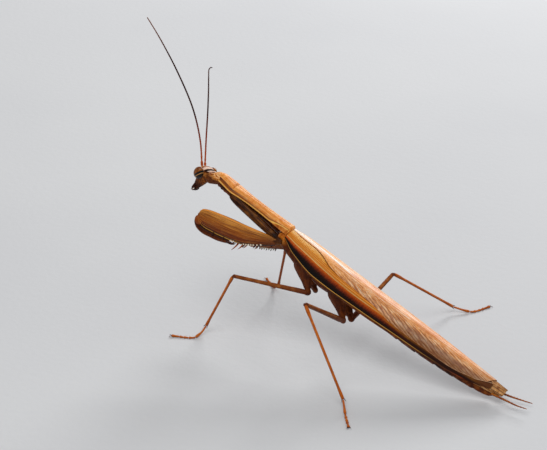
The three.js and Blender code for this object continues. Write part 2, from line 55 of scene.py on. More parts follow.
# how far the left tegmen runs under the right one, as a share of its half width
UNDERLAP = 0.1
HINDWING_LENGTH = 42.4
HINDWING_THICKNESS = 0.05
HINDWING_LAYERS = 3
LAYER_STEP = 0.13
ANTENNA_LENGTH = 24.0
ABDOMEN_START = 13.48
ABDOMEN_LENGTH = 27.6
FEMUR_ENDS = (0.1, 14.0)
KNEE_TO_ELBOW = 14.4

PROTHORAX = dict(at=(0.6, 0, 18.6), pitch=24.8, lean=BODY_LEAN, yaw=0)
TRUNK = dict(at=(-0.3, 0, 17.1), pitch=22.7, lean=BODY_LEAN, yaw=0)
HEAD = dict(at=(-15.4, -0.25, 25.25), pitch=25, lean=-24, yaw=-12)
EYE = dict(at=(0, 1.8, -0.12), size=(0.88, 0.66, 1.04), turn=14)
FOOT_HEIGHT = 0.2
BLUNT_END = 0.12

# periods of the wings' fine lines across v, shared by relief and colour
RIB_PERIOD = 0.042
FAN_PERIOD = 0.13
PLEAT_PERIOD = 0.13
VEIN_PERIOD = 0.046

# each leg from its hip: trochanter, knee, ankle, and two points of the foot, which lie on the floor
WALKING_LEGS = {
    "mid_left": dict(hip=(3.9, -1.3, 14.5), joints=[
        (5.2, -1.8, 10.1), (-7.2, -4.6, 10.8), (-11.5, -6.2, 1.3), (-11.8, -8.6), (-15.4, -10.4)]),
    "mid_right": dict(hip=(2.8, 1.1, 13.9), joints=[
        (5.1, 0.5, 9.5), (-5.2, 7.7, 11.2), (-9.2, 11.6, 1.7), (-11.2, 13.1), (-14, 15.2)]),
    "hind_left": dict(hip=(10.25, -1.3, 11.3), joints=[
        (11.9, -2.1, 7.2), (11, -11.9, 14.1), (19.3, -14.1, 1.3), (21, -16.2), (23.2, -18.9)]),
    "hind_right": dict(hip=(9.6, 1.1, 10.5), joints=[
        (12.1, -0.1, 6.6), (13.2, 11, 10.3), (18.5, 22, 1.1), (21.1, 23.6), (22.8, 27)]),
}
# hip, elbow and knee; splay turns the leg's upper edge outwards
GRASPING_LEGS = {
    "left": dict(splay=6, joints=[(-9.6, -1.3, 22.9), (0.25, -2.3, 17.85), (-13.8, -5, 19.7)]),
    "right": dict(splay=32, joints=[(-10.1, 1.3, 22), (-1.1, 2.2, 14.9), (-15.2, 2.4, 15.3)]),
}
ANTENNAE = {
    "left": [(-16.5, 0, 30.4), (-17.9, 0.2, 35.3), (-20.3, -0.4, 41.2), (-22.9, -1.4, 46.7),
             (-24.7, -2.2, 50.1)],
    "right": [(-17.2, 2.6, 29.6), (-18.6, 5.1, 33), (-20.3, 7.8, 35.6), (-22, 10.3, 37.3),
              (-22.65, 11.35, 37.7), (-22.75, 12, 37.8), (-22.55, 12.2, 37.75)],
}
CERCI = {
    "left": [(37.3, -0.75, 1.6), (39.9, -0.9, 1.3), (41.8, -1.2, 1.2), (43.6, -1.35, 1.25)],
    "right": [(37.4, 0.7, 1.4), (39.9, 0.8, 1.15), (41.6, 1.05, 0.95), (43.3, 1.2, 0.85)],
}
SIDES = {"left": -1, "right": 1}

FLOOR_REACH = 3.0
# place and size in metres, power in watts
LAMPS = {"key": ((0.1, -0.25, 0.5), 0.35, 1.3), "rim": ((-0.1, 0.5, 0.28), 0.22, 2.1)}
LAMP_TARGET = (0, 0, 0.015)
SKY = dict(Color=(0.98, 0.98, 1.0, 1), Strength=0.34)
# the photo's view: azimuth 33.4 and elevation 25 degrees
CAMERA_AT, CAMERA_TARGET = (143.725, -221.82, 143.059), (-5.947, 5.169, 16.274)
CAMERA_LENS, CAMERA_SENSOR, CAMERA_NEAR = 122.2, 36, 0.01

chance = np.random.default_rng(11)

# ---------- Curves and frames ----------


def along(stops):
    """A smooth value along a length: [position, value] stops joined by a monotone cubic."""
    x, y = np.array(stops, float).T
    rise = np.diff(y) / np.diff(x)
    product = rise[:-1] * rise[1:]
    total = np.where(product > 0, rise[:-1] + rise[1:], 1)
    slope = np.concatenate([rise[:1], np.where(product > 0, 2 * product / total, 0), rise[-1:]])

    def value(at):
        at = np.clip(np.asarray(at, float), x[0], x[-1])
        i = np.clip(np.searchsorted(x, at, "right") - 1, 0, len(x) - 2)
        w = x[i + 1] - x[i]
        t = (at - x[i]) / w
        start = (1 + 2 * t) * (1 - t) ** 2 * y[i] + t * (1 - t) ** 2 * w * slope[i]
        end = t * t * (3 - 2 * t) * y[i + 1] + t * t * (t - 1) * w * slope[i + 1]
        return start + end

    return value


def columns(rows):
    """The smooth values of a table: one for each column after the first, which holds the positions."""
    table = np.array(rows, float)
    return [along(table[:, [0, k]]) for k in range(1, table.shape[1])]


def smooth(value, low, high):
    """0 below low, 1 above high, and an easy slope between."""
    t = np.clip((value - low) / (high - low), 0, 1)
    return t * t * (3 - 2 * t)


def bump_at(value, middle, width):
    """A round swelling: 1 at middle, nearly 0 beyond twice its width."""
    return np.exp(-((value - middle) / width) ** 2)


def circle(count):
    """Angles evenly spaced round a circle."""
    return np.arange(count) / count * 2 * np.pi


def squared(wave, power):
    """A wave with its signs kept: powers below 1 fill out the corners of a round section."""
    return np.sign(wave) * np.abs(wave) ** power


def crest(value, period, power=1):
    """A wave from 0 to 1 with a crest each period. A higher power makes the crests narrower."""
    return (0.5 + 0.5 * np.cos(2 * np.pi * value / period)) ** power


def unit(v):
    v = np.asarray(v, float)
    return v / np.linalg.norm(v, axis=-1, keepdims=True)


def placer(at, pitch, lean, yaw):
    """Turns points of a local frame into the animal's frame: lean first, then pitch, then yaw."""
    y, p, r = np.radians([yaw, pitch, lean])
    rz = np.array([[np.cos(y), -np.sin(y), 0], [np.sin(y), np.cos(y), 0], [0, 0, 1]])
    ry = np.array([[np.cos(p), 0, np.sin(p)], [0, 1, 0], [-np.sin(p), 0, np.cos(p)]])
    rx = np.array([[1, 0, 0], [0, np.cos(r), -np.sin(r)], [0, np.sin(r), np.cos(r)]])
    turn = rz @ ry @ rx
    return lambda points: np.asarray(points, float) @ turn.T + np.array(at, float)


def turned(place, v):
    """A direction of a local frame in the animal's frame."""
    return place(v) - place((0, 0, 0))


def toward(start, end, distance):
    """The point this far from start on the way to end."""
    start, end = np.array(start, float), np.array(end, float)
    return start + unit(end - start) * distance


def straight(start, end):
    return [start, (start + end) / 2, end]


in_head = placer(**HEAD)
in_prothorax = placer(**PROTHORAX)
in_trunk = placer(**TRUNK)


def in_metres(points):
    """Points of the animal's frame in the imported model's frame."""
    return (np.array(points) - BOX_CENTRE) * MM


def route(points):
    """A centripetal Catmull-Rom curve: returns a function of the share of its length."""
    p = np.array(points, float)
    p = np.vstack([2 * p[0] - p[1], p, 2 * p[-1] - p[-2]])
    dense = []
    for a, b, c, d in zip(p, p[1:], p[2:], p[3:]):
        t1, t2, t3 = [max(np.linalg.norm(v) ** 0.5, 1e-6) for v in (b - a, c - b, d - c)]
        m1 = ((b - a) / t1 - (c - a) / (t1 + t2) + (c - b) / t2) * t2
        m2 = ((c - b) / t2 - (d - b) / (t2 + t3) + (d - c) / t3) * t2
        s = np.linspace(0, 1, 40)[:, None]
        dense.append((2 * s**3 - 3 * s**2 + 1) * b + (s**3 - 2 * s**2 + s) * m1
                     + (3 * s**2 - 2 * s**3) * c + (s**3 - s**2) * m2)
    dense = np.vstack(dense)
    steps = np.linalg.norm(np.diff(dense, axis=0), axis=1)
    keep = np.concatenate([[True], steps > 1e-9])
    dense = dense[keep]
    length = np.concatenate([[0], np.cumsum(steps[keep[1:]])])

    def at(t):
        return np.stack([np.interp(t * length[-1], length, dense[:, k]) for k in range(3)], -1)

    at.length = length[-1]
    return at


# ---------- Skins: grids of points that become meshes ----------


def skin(grid, u, v=None, caps="fan", look=0):
    """A closed skin: a grid of points with its UV, u along the rows and v round them.

    Without v, v is the share of the turn. caps close the ends: a fan round the middle of a ring, or
    a strip between the two halves of a flat row."""
    rows, cols = grid.shape[:2]
    if v is None:
        v = np.arange(cols) / cols
    uu = np.broadcast_to(u if np.ndim(u) == 2 else np.asarray(u)[:, None], (rows, cols))
    vv = np.broadcast_to(v, (rows, cols))
    return dict(grid=grid, u=uu, v=vv, caps=caps, look=look)


def faces_of(piece, start):
    """Faces, their UV and the extra cap points of one skin, numbered from start."""
    rows, cols = piece["grid"].shape[:2]
    ids = start + np.arange(rows * cols).reshape(rows, cols)
    ids = np.hstack([ids, ids[:, :1]])
    u, v = piece["u"], piece["v"]
    u, v = np.hstack([u, u[:, :1]]), np.hstack([v, 2 * v[:, -1:] - v[:, -2:-1]])
    corner = lambda a: np.stack([a[:-1, :-1], a[:-1, 1:], a[1:, 1:], a[1:, :-1]], -1).reshape(-1, 4)
    faces = [corner(ids)]
    uvs = [np.stack([corner(u), corner(v)], -1)]
    extra = []
    if piece["caps"] == "strip":
        half = cols // 2
        for row, order in ((0, 1), (rows - 1, -1)):
            a, b = ids[row, :half], ids[row, cols - 1:half - 1:-1]
            spot = np.stack([u[row, :half - 1], v[row, :half - 1]], -1)
            faces.append(np.stack([a[:-1], b[:-1], b[1:], a[1:]], -1)[:, ::order])
            uvs.append(np.repeat(spot[:, None], 4, 1))
    if piece["caps"] == "fan":
        for row, order in ((0, -1), (rows - 1, 1)):
            centre = start + rows * cols + len(extra)
            extra.append(piece["grid"][row].mean(0))
            a, b = ids[row, :-1], ids[row, 1:]
            spot = np.stack([u[row, :-1], v[row, :-1]], -1)
            faces.append(np.stack([np.full(len(a), centre), a, b], -1)[:, ::order])
            uvs.append(np.repeat(spot[:, None], 3, 1))
    return faces, uvs, extra


def build(node, skins, materials):
    """One Blender object, mantis_ and the node's name, that rides on the frame and stands for it."""
    points, faces, uvs, looks = [], [], [], []
    count = 0
    for piece in skins:
        new_faces, new_uvs, extra = faces_of(piece, count)
        own = np.vstack([piece["grid"].reshape(-1, 3), *extra])
        points.append(own)
        count += len(own)
        for f, w in zip(new_faces, new_uvs):
            faces.extend(f.tolist())
            uvs.append(w.reshape(-1, 2))
            looks.append(np.full(len(f), piece["look"]))
    name = "mantis_" + node
    mesh = bpy.data.meshes.new(name)
    mesh.from_pydata(in_metres(np.vstack(points)).tolist(), [], faces)
    mesh.uv_layers.new(name="UVMap").data.foreach_set("uv", np.vstack(uvs).ravel())
    mesh.polygons.foreach_set("material_index", np.concatenate(looks).astype(int))
    mesh.polygons.foreach_set("use_smooth", np.ones(len(mesh.polygons), bool))
    for material in materials:
        mesh.materials.append(material)
    mesh.validate()
    outward(mesh)
    piece = bpy.data.objects.new(name, mesh)
    bpy.context.scene.collection.objects.link(piece)
    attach(piece, "root")
    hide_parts(node)


def outward(mesh):
    """Makes every closed shell face outwards."""
    work = bmesh.new()
    work.from_mesh(mesh)
    bmesh.ops.recalc_face_normals(work, faces=work.faces)
    work.to_mesh(mesh)
    work.free()


def spaced(steps, crowd):
    """Shares from 0 to 1, closer together near both ends as crowd nears 1."""
    s = np.linspace(0, 1, steps)
    return (1 - crowd) * s + crowd * (1 - np.cos(np.pi * s)) / 2


def rounded(stops, start, end):
    """A radius that closes to the share BLUNT_END over the first and last shares of a limb."""
    radius = along(stops)

    def value(t):
        near = np.minimum(np.clip(t / start, 0, 1), np.clip((1 - t) / end, 0, 1))
        return radius(t) * (BLUNT_END + (1 - BLUNT_END) * np.sqrt(near * (2 - near)))
    return value


def tube(points, radius, steps=40, sides=18, flatten=1.0, across=(0, 0, 1), relief=None, look=0,
         crowd=0.5):
    """A round limb along a route. relief(t, angle) adds millimetres to its radius."""
    curve = route(points)
    t = spaced(steps, crowd)
    middle = curve(t)
    ahead = unit(curve(np.minimum(t + 0.004, 1)) - curve(np.maximum(t - 0.004, 0)))
    side, sides_at = np.array(across, float), []
    for direction in ahead:
        side = unit(side - side.dot(direction) * direction)
        sides_at.append(side)
    sides_at = np.array(sides_at)
    other = np.cross(ahead, sides_at)
    angle = circle(sides)
    r = np.broadcast_to(np.asarray(radius(t), float)[:, None], (steps, sides)).copy()
    if relief:
        r += relief(t[:, None], angle[None])
    grid = (middle[:, None] + sides_at[:, None] * (np.cos(angle) * r)[..., None]
            + other[:, None] * (np.sin(angle) * r * flatten)[..., None])
    return skin(grid, t * curve.length, look=look)


def ridges(count, height):
    """Lengthwise ridges round a limb, fading out at both ends."""
    def value(t, angle):
        wave = crest(angle, 2 * np.pi / count, 2)
        return height * wave * smooth(np.minimum(t, 1 - t), 0.02, 0.12)
    return value


def spine(foot, tip, radius, look, bend=(0, 0, 0), steps=7, sides=8):
    """A thorn with a broad foot and a sharp tip, bowed by bend at its middle."""
    foot, tip = np.array(foot, float), np.array(tip, float)
    middle = (foot + tip) / 2 + np.array(bend, float)
    taper = along([[0, radius * 1.35], [0.2, radius], [0.7, radius * 0.6], [1, radius * 0.08]])
    return tube([foot, middle, tip], taper, steps=steps, sides=sides, look=look, crowd=0.1)


def bristles(feet, directions, lengths, radius):
    """Fine hairs, each a three-sided needle."""
    feet, directions = np.array(feet, float), unit(directions)
    skins = []
    for foot, direction, length in zip(feet, directions, np.broadcast_to(lengths, len(feet))):
        side = unit(np.cross(direction, (0.3, 0.5, 0.8)))
        other = np.cross(direction, side)
        ring = [side * np.cos(a) + other * np.sin(a) for a in circle(3)]
        rows = [[foot + direction * length * s + p * radius * w for p in ring]
                for s, w in ((0, 1), (0.5, 0.6), (1, 0.1))]
        skins.append(skin(np.array(rows), np.zeros(3)))
    return skins


def hairs_round(middle, ahead, beside, out_by, lean, length, radius, vary=None):
    """Hairs at random turns round a limb's middle line, out_by from it and leaning ahead."""
    turn = chance.uniform(0, 2 * np.pi, len(middle))[:, None]
    one = unit(np.cross(ahead, beside))
    two = np.cross(ahead, one)
    out = one * np.cos(turn) + two * np.sin(turn)
    if vary:
        length = length * chance.uniform(*vary, len(middle))
    return bristles(middle + out * out_by, out + ahead * lean, length, radius)


def hairs_on(start, end, radius, count, length):
    """Bristles spread over a straight limb, leaning towards its end."""
    start, end = np.array(start, float), np.array(end, float)
    t = chance.uniform(0.04, 0.98, count)[:, None]
    return hairs_round(start + (end - start) * t, unit(end - start), (0.1, 0.2, 1), radius * 0.92, 0.8,
                       length, 0.013, vary=(0.7, 1.2))


def ball(rows, cols, pole=0.04):
    """The points of a unit sphere, and the polar angles of its rows."""
    polar, turn = np.linspace(pole, np.pi - pole, rows)[:, None], circle(cols)[None]
    points = np.stack([np.sin(polar) * np.cos(turn), np.sin(polar) * np.sin(turn),
                       np.cos(polar) + 0 * turn], -1)
    return points, polar[:, 0]


def dome(centre, size, place, rows=14, cols=24, look=0):
    """A small bead in a local frame."""
    points, polar = ball(rows, cols)
    return skin(place(points * size + centre), polar, look=look)


# ---------- Node-based materials ----------


def srgb(code):
    """Linear RGBA of a #rrggbb colour."""
    c = np.array([int(code[i:i + 2], 16) / 255 for i in (1, 3, 5)])
    c = np.where(c <= 0.04045, c / 12.92, ((c + 0.055) / 1.055) ** 2.4)
    return (*c.tolist(), 1.0)


def shader_node(tree, kind, inputs, out=0, **settings):
    """A new node with its inputs linked or set. Returns its output out."""
    node = tree.nodes.new("ShaderNode" + kind)
    for name, value in settings.items():
        setattr(node, name, value)
    for key, value in inputs.items():
        value = getattr(value, "socket", value)
        if isinstance(value, bpy.types.NodeSocket):
            tree.links.new(value, node.inputs[key])
        else:
            node.inputs[key].default_value = value
    return node.outputs[out]


class Field:
    """A number that varies over a surface, made of shader nodes."""

    def __init__(self, tree, socket):
        self.tree, self.socket = tree, socket

    def grow(self, kind, *values, **settings):
        """A new field from a node whose first input is this one."""
        inputs = dict(enumerate((self, *values)))
        return Field(self.tree, shader_node(self.tree, kind, inputs, **settings))

    def __add__(self, other):
        return self.grow("Math", other, operation="ADD")

    def __sub__(self, other):
        return self.grow("Math", other, operation="SUBTRACT")

    def __mul__(self, other):
        return self.grow("Math", other, operation="MULTIPLY")

    def abs(self):
        return self.grow("Math", operation="ABSOLUTE")

    def log(self):
        return self.grow("Math", 2.718, operation="LOGARITHM")

    def largest(self, other):
        return self.grow("Math", other, operation="MAXIMUM")

    def slope(self, low, high, to=(0.0, 1.0)):
        """A smooth step from to[0] at low to to[1] at high."""
        ends = (high, low, to[1], to[0]) if low > high else (low, high, *to)
        return self.grow("MapRange", *ends, interpolation_type="SMOOTHSTEP")

    def band(self, middle, half, soft):
        """1 within half of middle, fading to 0 over soft."""
        return (self - middle).abs().slope(half + soft, half)

    def waves(self, period, share=0.5):
        """Thin lines, one each period: 1 on the line. share is how much of the period they take."""
        saw = self.grow("Math", period / 2, operation="PINGPONG") * (2 / period)
        return saw.slope(share, 0.0)


class Look:
    """A material under way: its coordinates, its colour so far, and the shader that it ends in."""

    def __init__(self, name, roughness=0.45, coat=0.0, coat_roughness=0.2, specular=0.12, local=None):
        self.material = bpy.data.materials.new(name)
        self.material.use_nodes = True
        self.tree = self.material.node_tree
        self.shader = self.tree.nodes["Principled BSDF"]
        for socket, value in (("Roughness", roughness), ("Coat Weight", coat),
                              ("Coat Roughness", coat_roughness), ("Specular IOR Level", specular)):
            self.shader.inputs[socket].default_value = value
        coordinates = self.tree.nodes.new("ShaderNodeTexCoord")
        self.uv = coordinates.outputs["UV"]
        self.place = self.node("VectorMath", {0: coordinates.outputs["Object"], "Scale": 1 / MM},
                               operation="SCALE")
        if local:
            origin = np.array(local["at"]) - BOX_CENTRE
            turns = np.radians([local["lean"], local["pitch"], local["yaw"]])
            self.place = self.node("Mapping", {"Vector": self.place, "Location": origin, "Rotation": turns},
                                   vector_type="TEXTURE")
        self.x, self.y, self.z = self.split(self.place)
        self.u, self.v, _ = self.split(self.uv)

    def node(self, kind, inputs, out=0, **settings):
        return shader_node(self.tree, kind, inputs, out, **settings)

    def split(self, vector):
        node = self.tree.nodes.new("ShaderNodeSeparateXYZ")
        self.tree.links.new(vector, node.inputs[0])
        return [Field(self.tree, output) for output in node.outputs]

    def scaled(self, vector, size, stretch=(1, 1, 1)):
        shares = [1 / (size * s) for s in stretch]
        return self.node("VectorMath", {0: vector or self.place, 1: shares}, operation="MULTIPLY")

    def noise(self, size, detail=3.0, stretch=(1, 1, 1), on=None):
        """Cloudy noise with features of about size millimetres, or size units of the vector on."""
        inputs = {"Vector": self.scaled(on, size, stretch), "Scale": 1.0, "Detail": detail}
        return Field(self.tree, self.node("TexNoise", inputs, "Fac"))

    def streaks(self, length, width, detail=3.0, across=None, run=None):
        """Noise drawn out along u, or along the fields run and across."""
        on = self.node("CombineXYZ", {0: run or self.u, 1: across}) if across else self.uv
        return self.noise(1.0, detail, (length, width, 1), on)

    def cells(self, size, feature="DISTANCE_TO_EDGE", random=1.0):
        """The distance to the edges of a net of cells, or to their middles for feature F1."""
        inputs = {"Vector": self.scaled(None, size), "Scale": 1.0, "Randomness": random}
        return Field(self.tree, self.node("TexVoronoi", inputs, "Distance", feature=feature))

    def ramp(self, field, *stops):
        """Colours over field: (value, colour) stops."""
        node = self.tree.nodes.new("ShaderNodeValToRGB")
        elements = node.color_ramp.elements
        while len(elements) < len(stops):
            elements.new(0.5)
        for element, (position, colour) in zip(elements, stops):
            element.position = position
            element.color = srgb(colour)
        self.tree.links.new(field.socket, node.inputs[0])
        return node.outputs[0]

    def blend(self, field, below, above):
        """Colour below where field is 0, above where it is 1."""
        below, above = [srgb(c) if isinstance(c, str) else c for c in (below, above)]
        return self.node("Mix", {0: field, 6: below, 7: above}, 2, data_type="RGBA")

    def start(self, field, *stops):
        """The first colours: a ramp over field."""
        self.colour = self.ramp(field, *stops)

    def paint(self, colour, where):
        """Lays colour over the colours so far, as thickly as the field where says."""
        self.colour = self.blend(where, self.colour, colour)

    def grained(self, specks, pits, pit_size):
        """Ends the material with fine specks and a net of pits of these heights."""
        return self.finish((self.noise(0.1, 2), specks), (self.cells(pit_size), pits))

    def finish(self, *bumps):
        """bumps are (field, height in millimetres) pairs, stacked in order."""
        self.tree.links.new(self.colour, self.shader.inputs["Base Color"])
        normal = None
        for field, height in bumps:
            inputs = {"Height": field, "Strength": 1.0, "Distance": height * MM}
            if normal:
                inputs["Normal"] = normal
            normal = self.node("Bump", inputs)
        self.tree.links.new(normal, self.shader.inputs["Normal"])
        return self.material


def mottled(name, size, detail, *stops, **settings):
    """A look first coloured by cloudy noise, and that noise."""
    look = Look(name, **settings)
    cloud = look.noise(size, detail)
    look.start(cloud, *stops)
    return look, cloud


def cuticle(name, dark, mid, light, grain, fibres=0.0, roughness=0.45, coat=0.0, bump=0.02):
    """Mottled shell. fibres above 0 adds lengthwise streaks that follow the UV."""
    look, _ = mottled(name, grain, 5, (0.3, dark), (0.5, mid), (0.72, light),
                      roughness=roughness, coat=coat, coat_roughness=0.28)
    if fibres:
        streak = look.streaks(3.0, 0.035)
        look.paint(dark, streak.slope(0.42, 0.66) * fibres)
        look.paint(light, streak.slope(0.5, 0.32) * (fibres * 0.6))
    return look.grained(bump, bump * 0.7, 0.12)


def head_material():
    """Brown head: pale bars of painted highlight across the crown with a dark line of painted shade between
    them, and lined cheeks.
    """
    look, cloud = mottled("head_brown", 0.5, 6, (0.3, "#55220a"), (0.5, "#80400e"), (0.72, "#b86f22"),
                          roughness=0.4, local=HEAD)
    lines = (look.x * 0.8 + look.z * 0.55 + cloud * 0.35).waves(0.34)
    cheek = look.z.slope(0.35, 0.0) * look.x.slope(-0.2, 0.3)
    look.paint("#1c0803", lines * cheek * 0.85)
    look.paint("#2a0c03", look.z.slope(-1.3, -2.2) * 0.85)
    crown = look.z.slope(0.5, 0.7)
    # painted highlight: a pale bar across the front of the crown
    look.paint("#f0cdb4", crown * look.x.band(0.14, 0.12, 0.12) * 0.9)
    # painted shade: a dark line between the two pale bars
    look.paint("#200c06", crown * look.x.band(0.49, 0.1, 0.05))
    # painted highlight: a pale bar at the back of the crown
    look.paint("#f6e2d2", look.x.slope(0.6, 0.65) * look.z.slope(0.66, 0.72))
    # painted shade: a dark line under the rear pale bar
    look.paint("#2a1006", look.x.slope(0.4, 0.6) * look.z.band(0.58, 0.05, 0.06) * 0.9)
    glow = look.x.slope(0.5, 0.8) * look.z.band(0.1, 0.15, 0.3)
    look.paint("#d08a44", glow * cloud.slope(0.4, 0.6) * 0.8)
    return look.grained(0.03, 0.02, 0.14)


def neck_material():
    """Orange skin, streaked lengthwise, with painted light and pale painted highlight streaks on top, and
    painted shade below.
    """
    look = Look("neck_orange", local=PROTHORAX)
    cloud = look.noise(0.45, 5)
    streak = look.noise(1.0, 3, (1.4, 0.14, 0.14))
    look.start(cloud * 0.3 + streak * 0.7, (0.4, "#8f3f08"), (0.48, "#dc8430"), (0.56, "#f8b464"))
    # painted light: the upper side made lighter
    high = (look.z + (cloud - 0.5) * 0.4).slope(0.45, 0.95)
    look.paint("#ffc27a", high * 0.5)
    # painted highlight: pale streaks on the upper side
    look.paint("#ffd2a0", look.z.slope(0.0, 0.4) * streak.slope(0.52, 0.56) * 0.7)
    look.paint("#7a300a", cloud.slope(0.46, 0.36) * 0.4)
    # painted shade: the lower side made dark
    low = (look.z + (cloud - 0.5) * 0.7).slope(0.3, -0.4)
    look.paint("#3c1003", low * 0.9)
    look.paint("#8c4416", look.z.slope(0.2, -0.1) * streak.slope(0.5, 0.56) * 0.4)
    return look.finish((look.noise(0.1, 2), 0.03), (streak, 0.04))


def shield_material():
    """Orange-tan shield: keel painted pale as a highlight, furrow inside the margin and groove across it
    darkened as painted shade, thin yellow rim.
    """
    look, cloud = mottled("shield_tan", 0.6, 6, (0.3, "#de7a1c"), (0.48, "#f69636"), (0.7, "#ffc070"),
                          roughness=0.42, specular=0.2)
    streak = look.streaks(2.4, 0.06, 4)
    look.paint("#b85c10", streak.slope(0.48, 0.66) * 0.65)
    look.paint("#ffcf8c", streak.slope(0.46, 0.32) * 0.5)
    edge = look.v.abs()
    front = look.u.slope(9.0, 2.5)
    rim_at = edge + look.u.slope(11.0, 15.0, to=(0.0, 0.22))
    # painted shade: the furrow inside the margin made dark
    furrow = edge.band(0.865, 0.03, 0.08) * (front * 0.75 + 0.2)
    look.paint("#4a1c08", furrow * (cloud + 0.45))
    look.paint("#e59a48", edge.band(0.62, 0.04, 0.1) * (streak * 0.6 + 0.1))
    look.paint("#7a3408", rim_at.band(0.935, 0.012, 0.03) * 0.7)
    # painted highlight: a pale line along the keel
    look.paint("#ffdca4", edge.band(0.0, 0.02, 0.05) * 0.5)
    # painted shade: a dark line in the groove across the shield
    look.paint("#9a4c0e", look.u.band(3.5, 0.02, 0.14) * edge.slope(0.9, 0.5) * 0.5)
    look.paint("#ffc45c", rim_at.slope(0.955, 0.975))
    flank = look.ramp(cloud, (0.3, "#8c420a"), (0.5, "#c46c1c"), (0.7, "#eca04a"))
    look.paint(flank, rim_at.slope(0.995, 1.03))
    return look.finish((look.noise(0.09), 0.006), (look.cells(0.16), 0.008))


def vein_level(look):
    """The share v at which the pale second vein runs."""
    return look.u.slope(1.0, 15.0, to=(0.485, 0.615))


def rear_brown(look, cloud):
    """The smooth rear of a tegmen, darker towards its tip."""
    brown = look.ramp(cloud, (0.3, "#7d4208"), (0.5, "#a86014"), (0.7, "#c67f2c"))
    return look.blend(look.u.slope(28.0, 38.0) * 0.7, brown, "#5c3410")


def paint_wing_wall(look, cloud, fine):
    """The steep side of a tegmen, from the pale second vein at its ridge down to the margin. Its darkening
    towards the margin is partly its own colour and partly painted shade on this downward-facing side.
    """
    side = look.v.abs()
    below = side - vein_level(look)
    deep = below + (fine - 0.5) * 0.08 + look.u.slope(20.0, 33.0, to=(0.0, -0.22))
    # orange at the vein to near black at the margin: partly the costal field's own colour, partly painted
    # shade
    wall = look.ramp(deep, (0.015, "#da6c12"), (0.06, "#b84c08"), (0.12, "#802a04"), (0.19, "#260802"),
                     (0.3, "#0c0201"))
    hatch = look.streaks(0.12, 0.22, 2, across=side, run=look.u + side * 1.5)
    wall = look.blend(hatch.slope(0.5, 0.36) * deep.slope(0.26, 0.1) * 0.25, wall, "#b4561a")
    wall = look.blend(hatch.slope(0.5, 0.64) * deep.slope(0.24, 0.06) * 0.35, wall, "#4a1503")
    rear = look.u.slope(19.0, 24.0) * deep.slope(0.13, 0.08)
    wall = look.blend(rear, wall, rear_brown(look, cloud))
    # darker low down towards the rear: partly its own colour, partly painted shade
    wall = look.blend(look.u.slope(18.0, 27.0) * side.slope(0.64, 0.84), wall, "#2c0e03")
    wall = look.blend(look.u.slope(33.0, 37.0) * side.slope(0.93, 0.96), wall, "#b0460e")
    look.paint(wall, below.slope(-0.005, 0.012))
    front = look.u.slope(22.0, 16.0)
    look.paint("#8a3c08", below.band(-0.014, 0.004, 0.008) * front * 0.6)
    look.paint("#e6bd74", below.band(0.0, 0.006, 0.008) * front)
    margin = side + look.u.slope(10.0, 17.0, to=(0.0, 0.035)) + look.u.slope(31.0, 22.0, to=(-0.035, 0.0))
    brown = look.ramp(cloud, (0.3, "#3c1604"), (0.7, "#7a3d0c"))
    look.paint(brown, margin.slope(0.965, 0.975))
    look.paint("#d49b45", margin.band(0.952, 0.006, 0.009) * look.u.slope(33.0, 25.0))


def left_wing_material():
    """The left tegmen. u is the distance from the wing base, v runs from margin (-1) to margin (1)."""
    look = Look("wing_tan_left", specular=0.14)
    cloud = look.noise(1.6, 4)
    fine = look.noise(0.3)
    look.start(cloud * 0.5 + fine * 0.5, (0.34, "#e48a1e"), (0.5, "#faa836"), (0.68, "#ffce74"))
    spread = look.v + look.u * 0.004
    ribs = (spread + (cloud - 0.5) * 0.012).waves(RIB_PERIOD)
    bars = (look.u + look.v * 2.0 + (fine - 0.5) * 0.3).waves(0.3, 0.45)
    look.paint("#a4540c", ribs * 0.65)
    look.paint("#9c4c08", bars * 0.4)
    above = vein_level(look) - look.v.abs()
    stripes = above.waves(VEIN_PERIOD) * above.slope(0.19, 0.13)
    # painted light: paler towards the crown, where the top faces up
    look.paint("#ffd488", above.slope(0.16, 0.3) * 0.5)
    look.paint("#e88c26", above.slope(0.2, 0.1) * 0.7)
    look.paint("#963f06", stripes * 0.9)
    look.paint(rear_brown(look, cloud), look.u.slope(19.0, 24.0))
    paint_wing_wall(look, cloud, fine)
    look.paint("#54280c", look.u.slope(36.5, 39.5) * 0.8)
    return look.finish((fine, 0.006), (ribs, 0.008), (bars, 0.005))


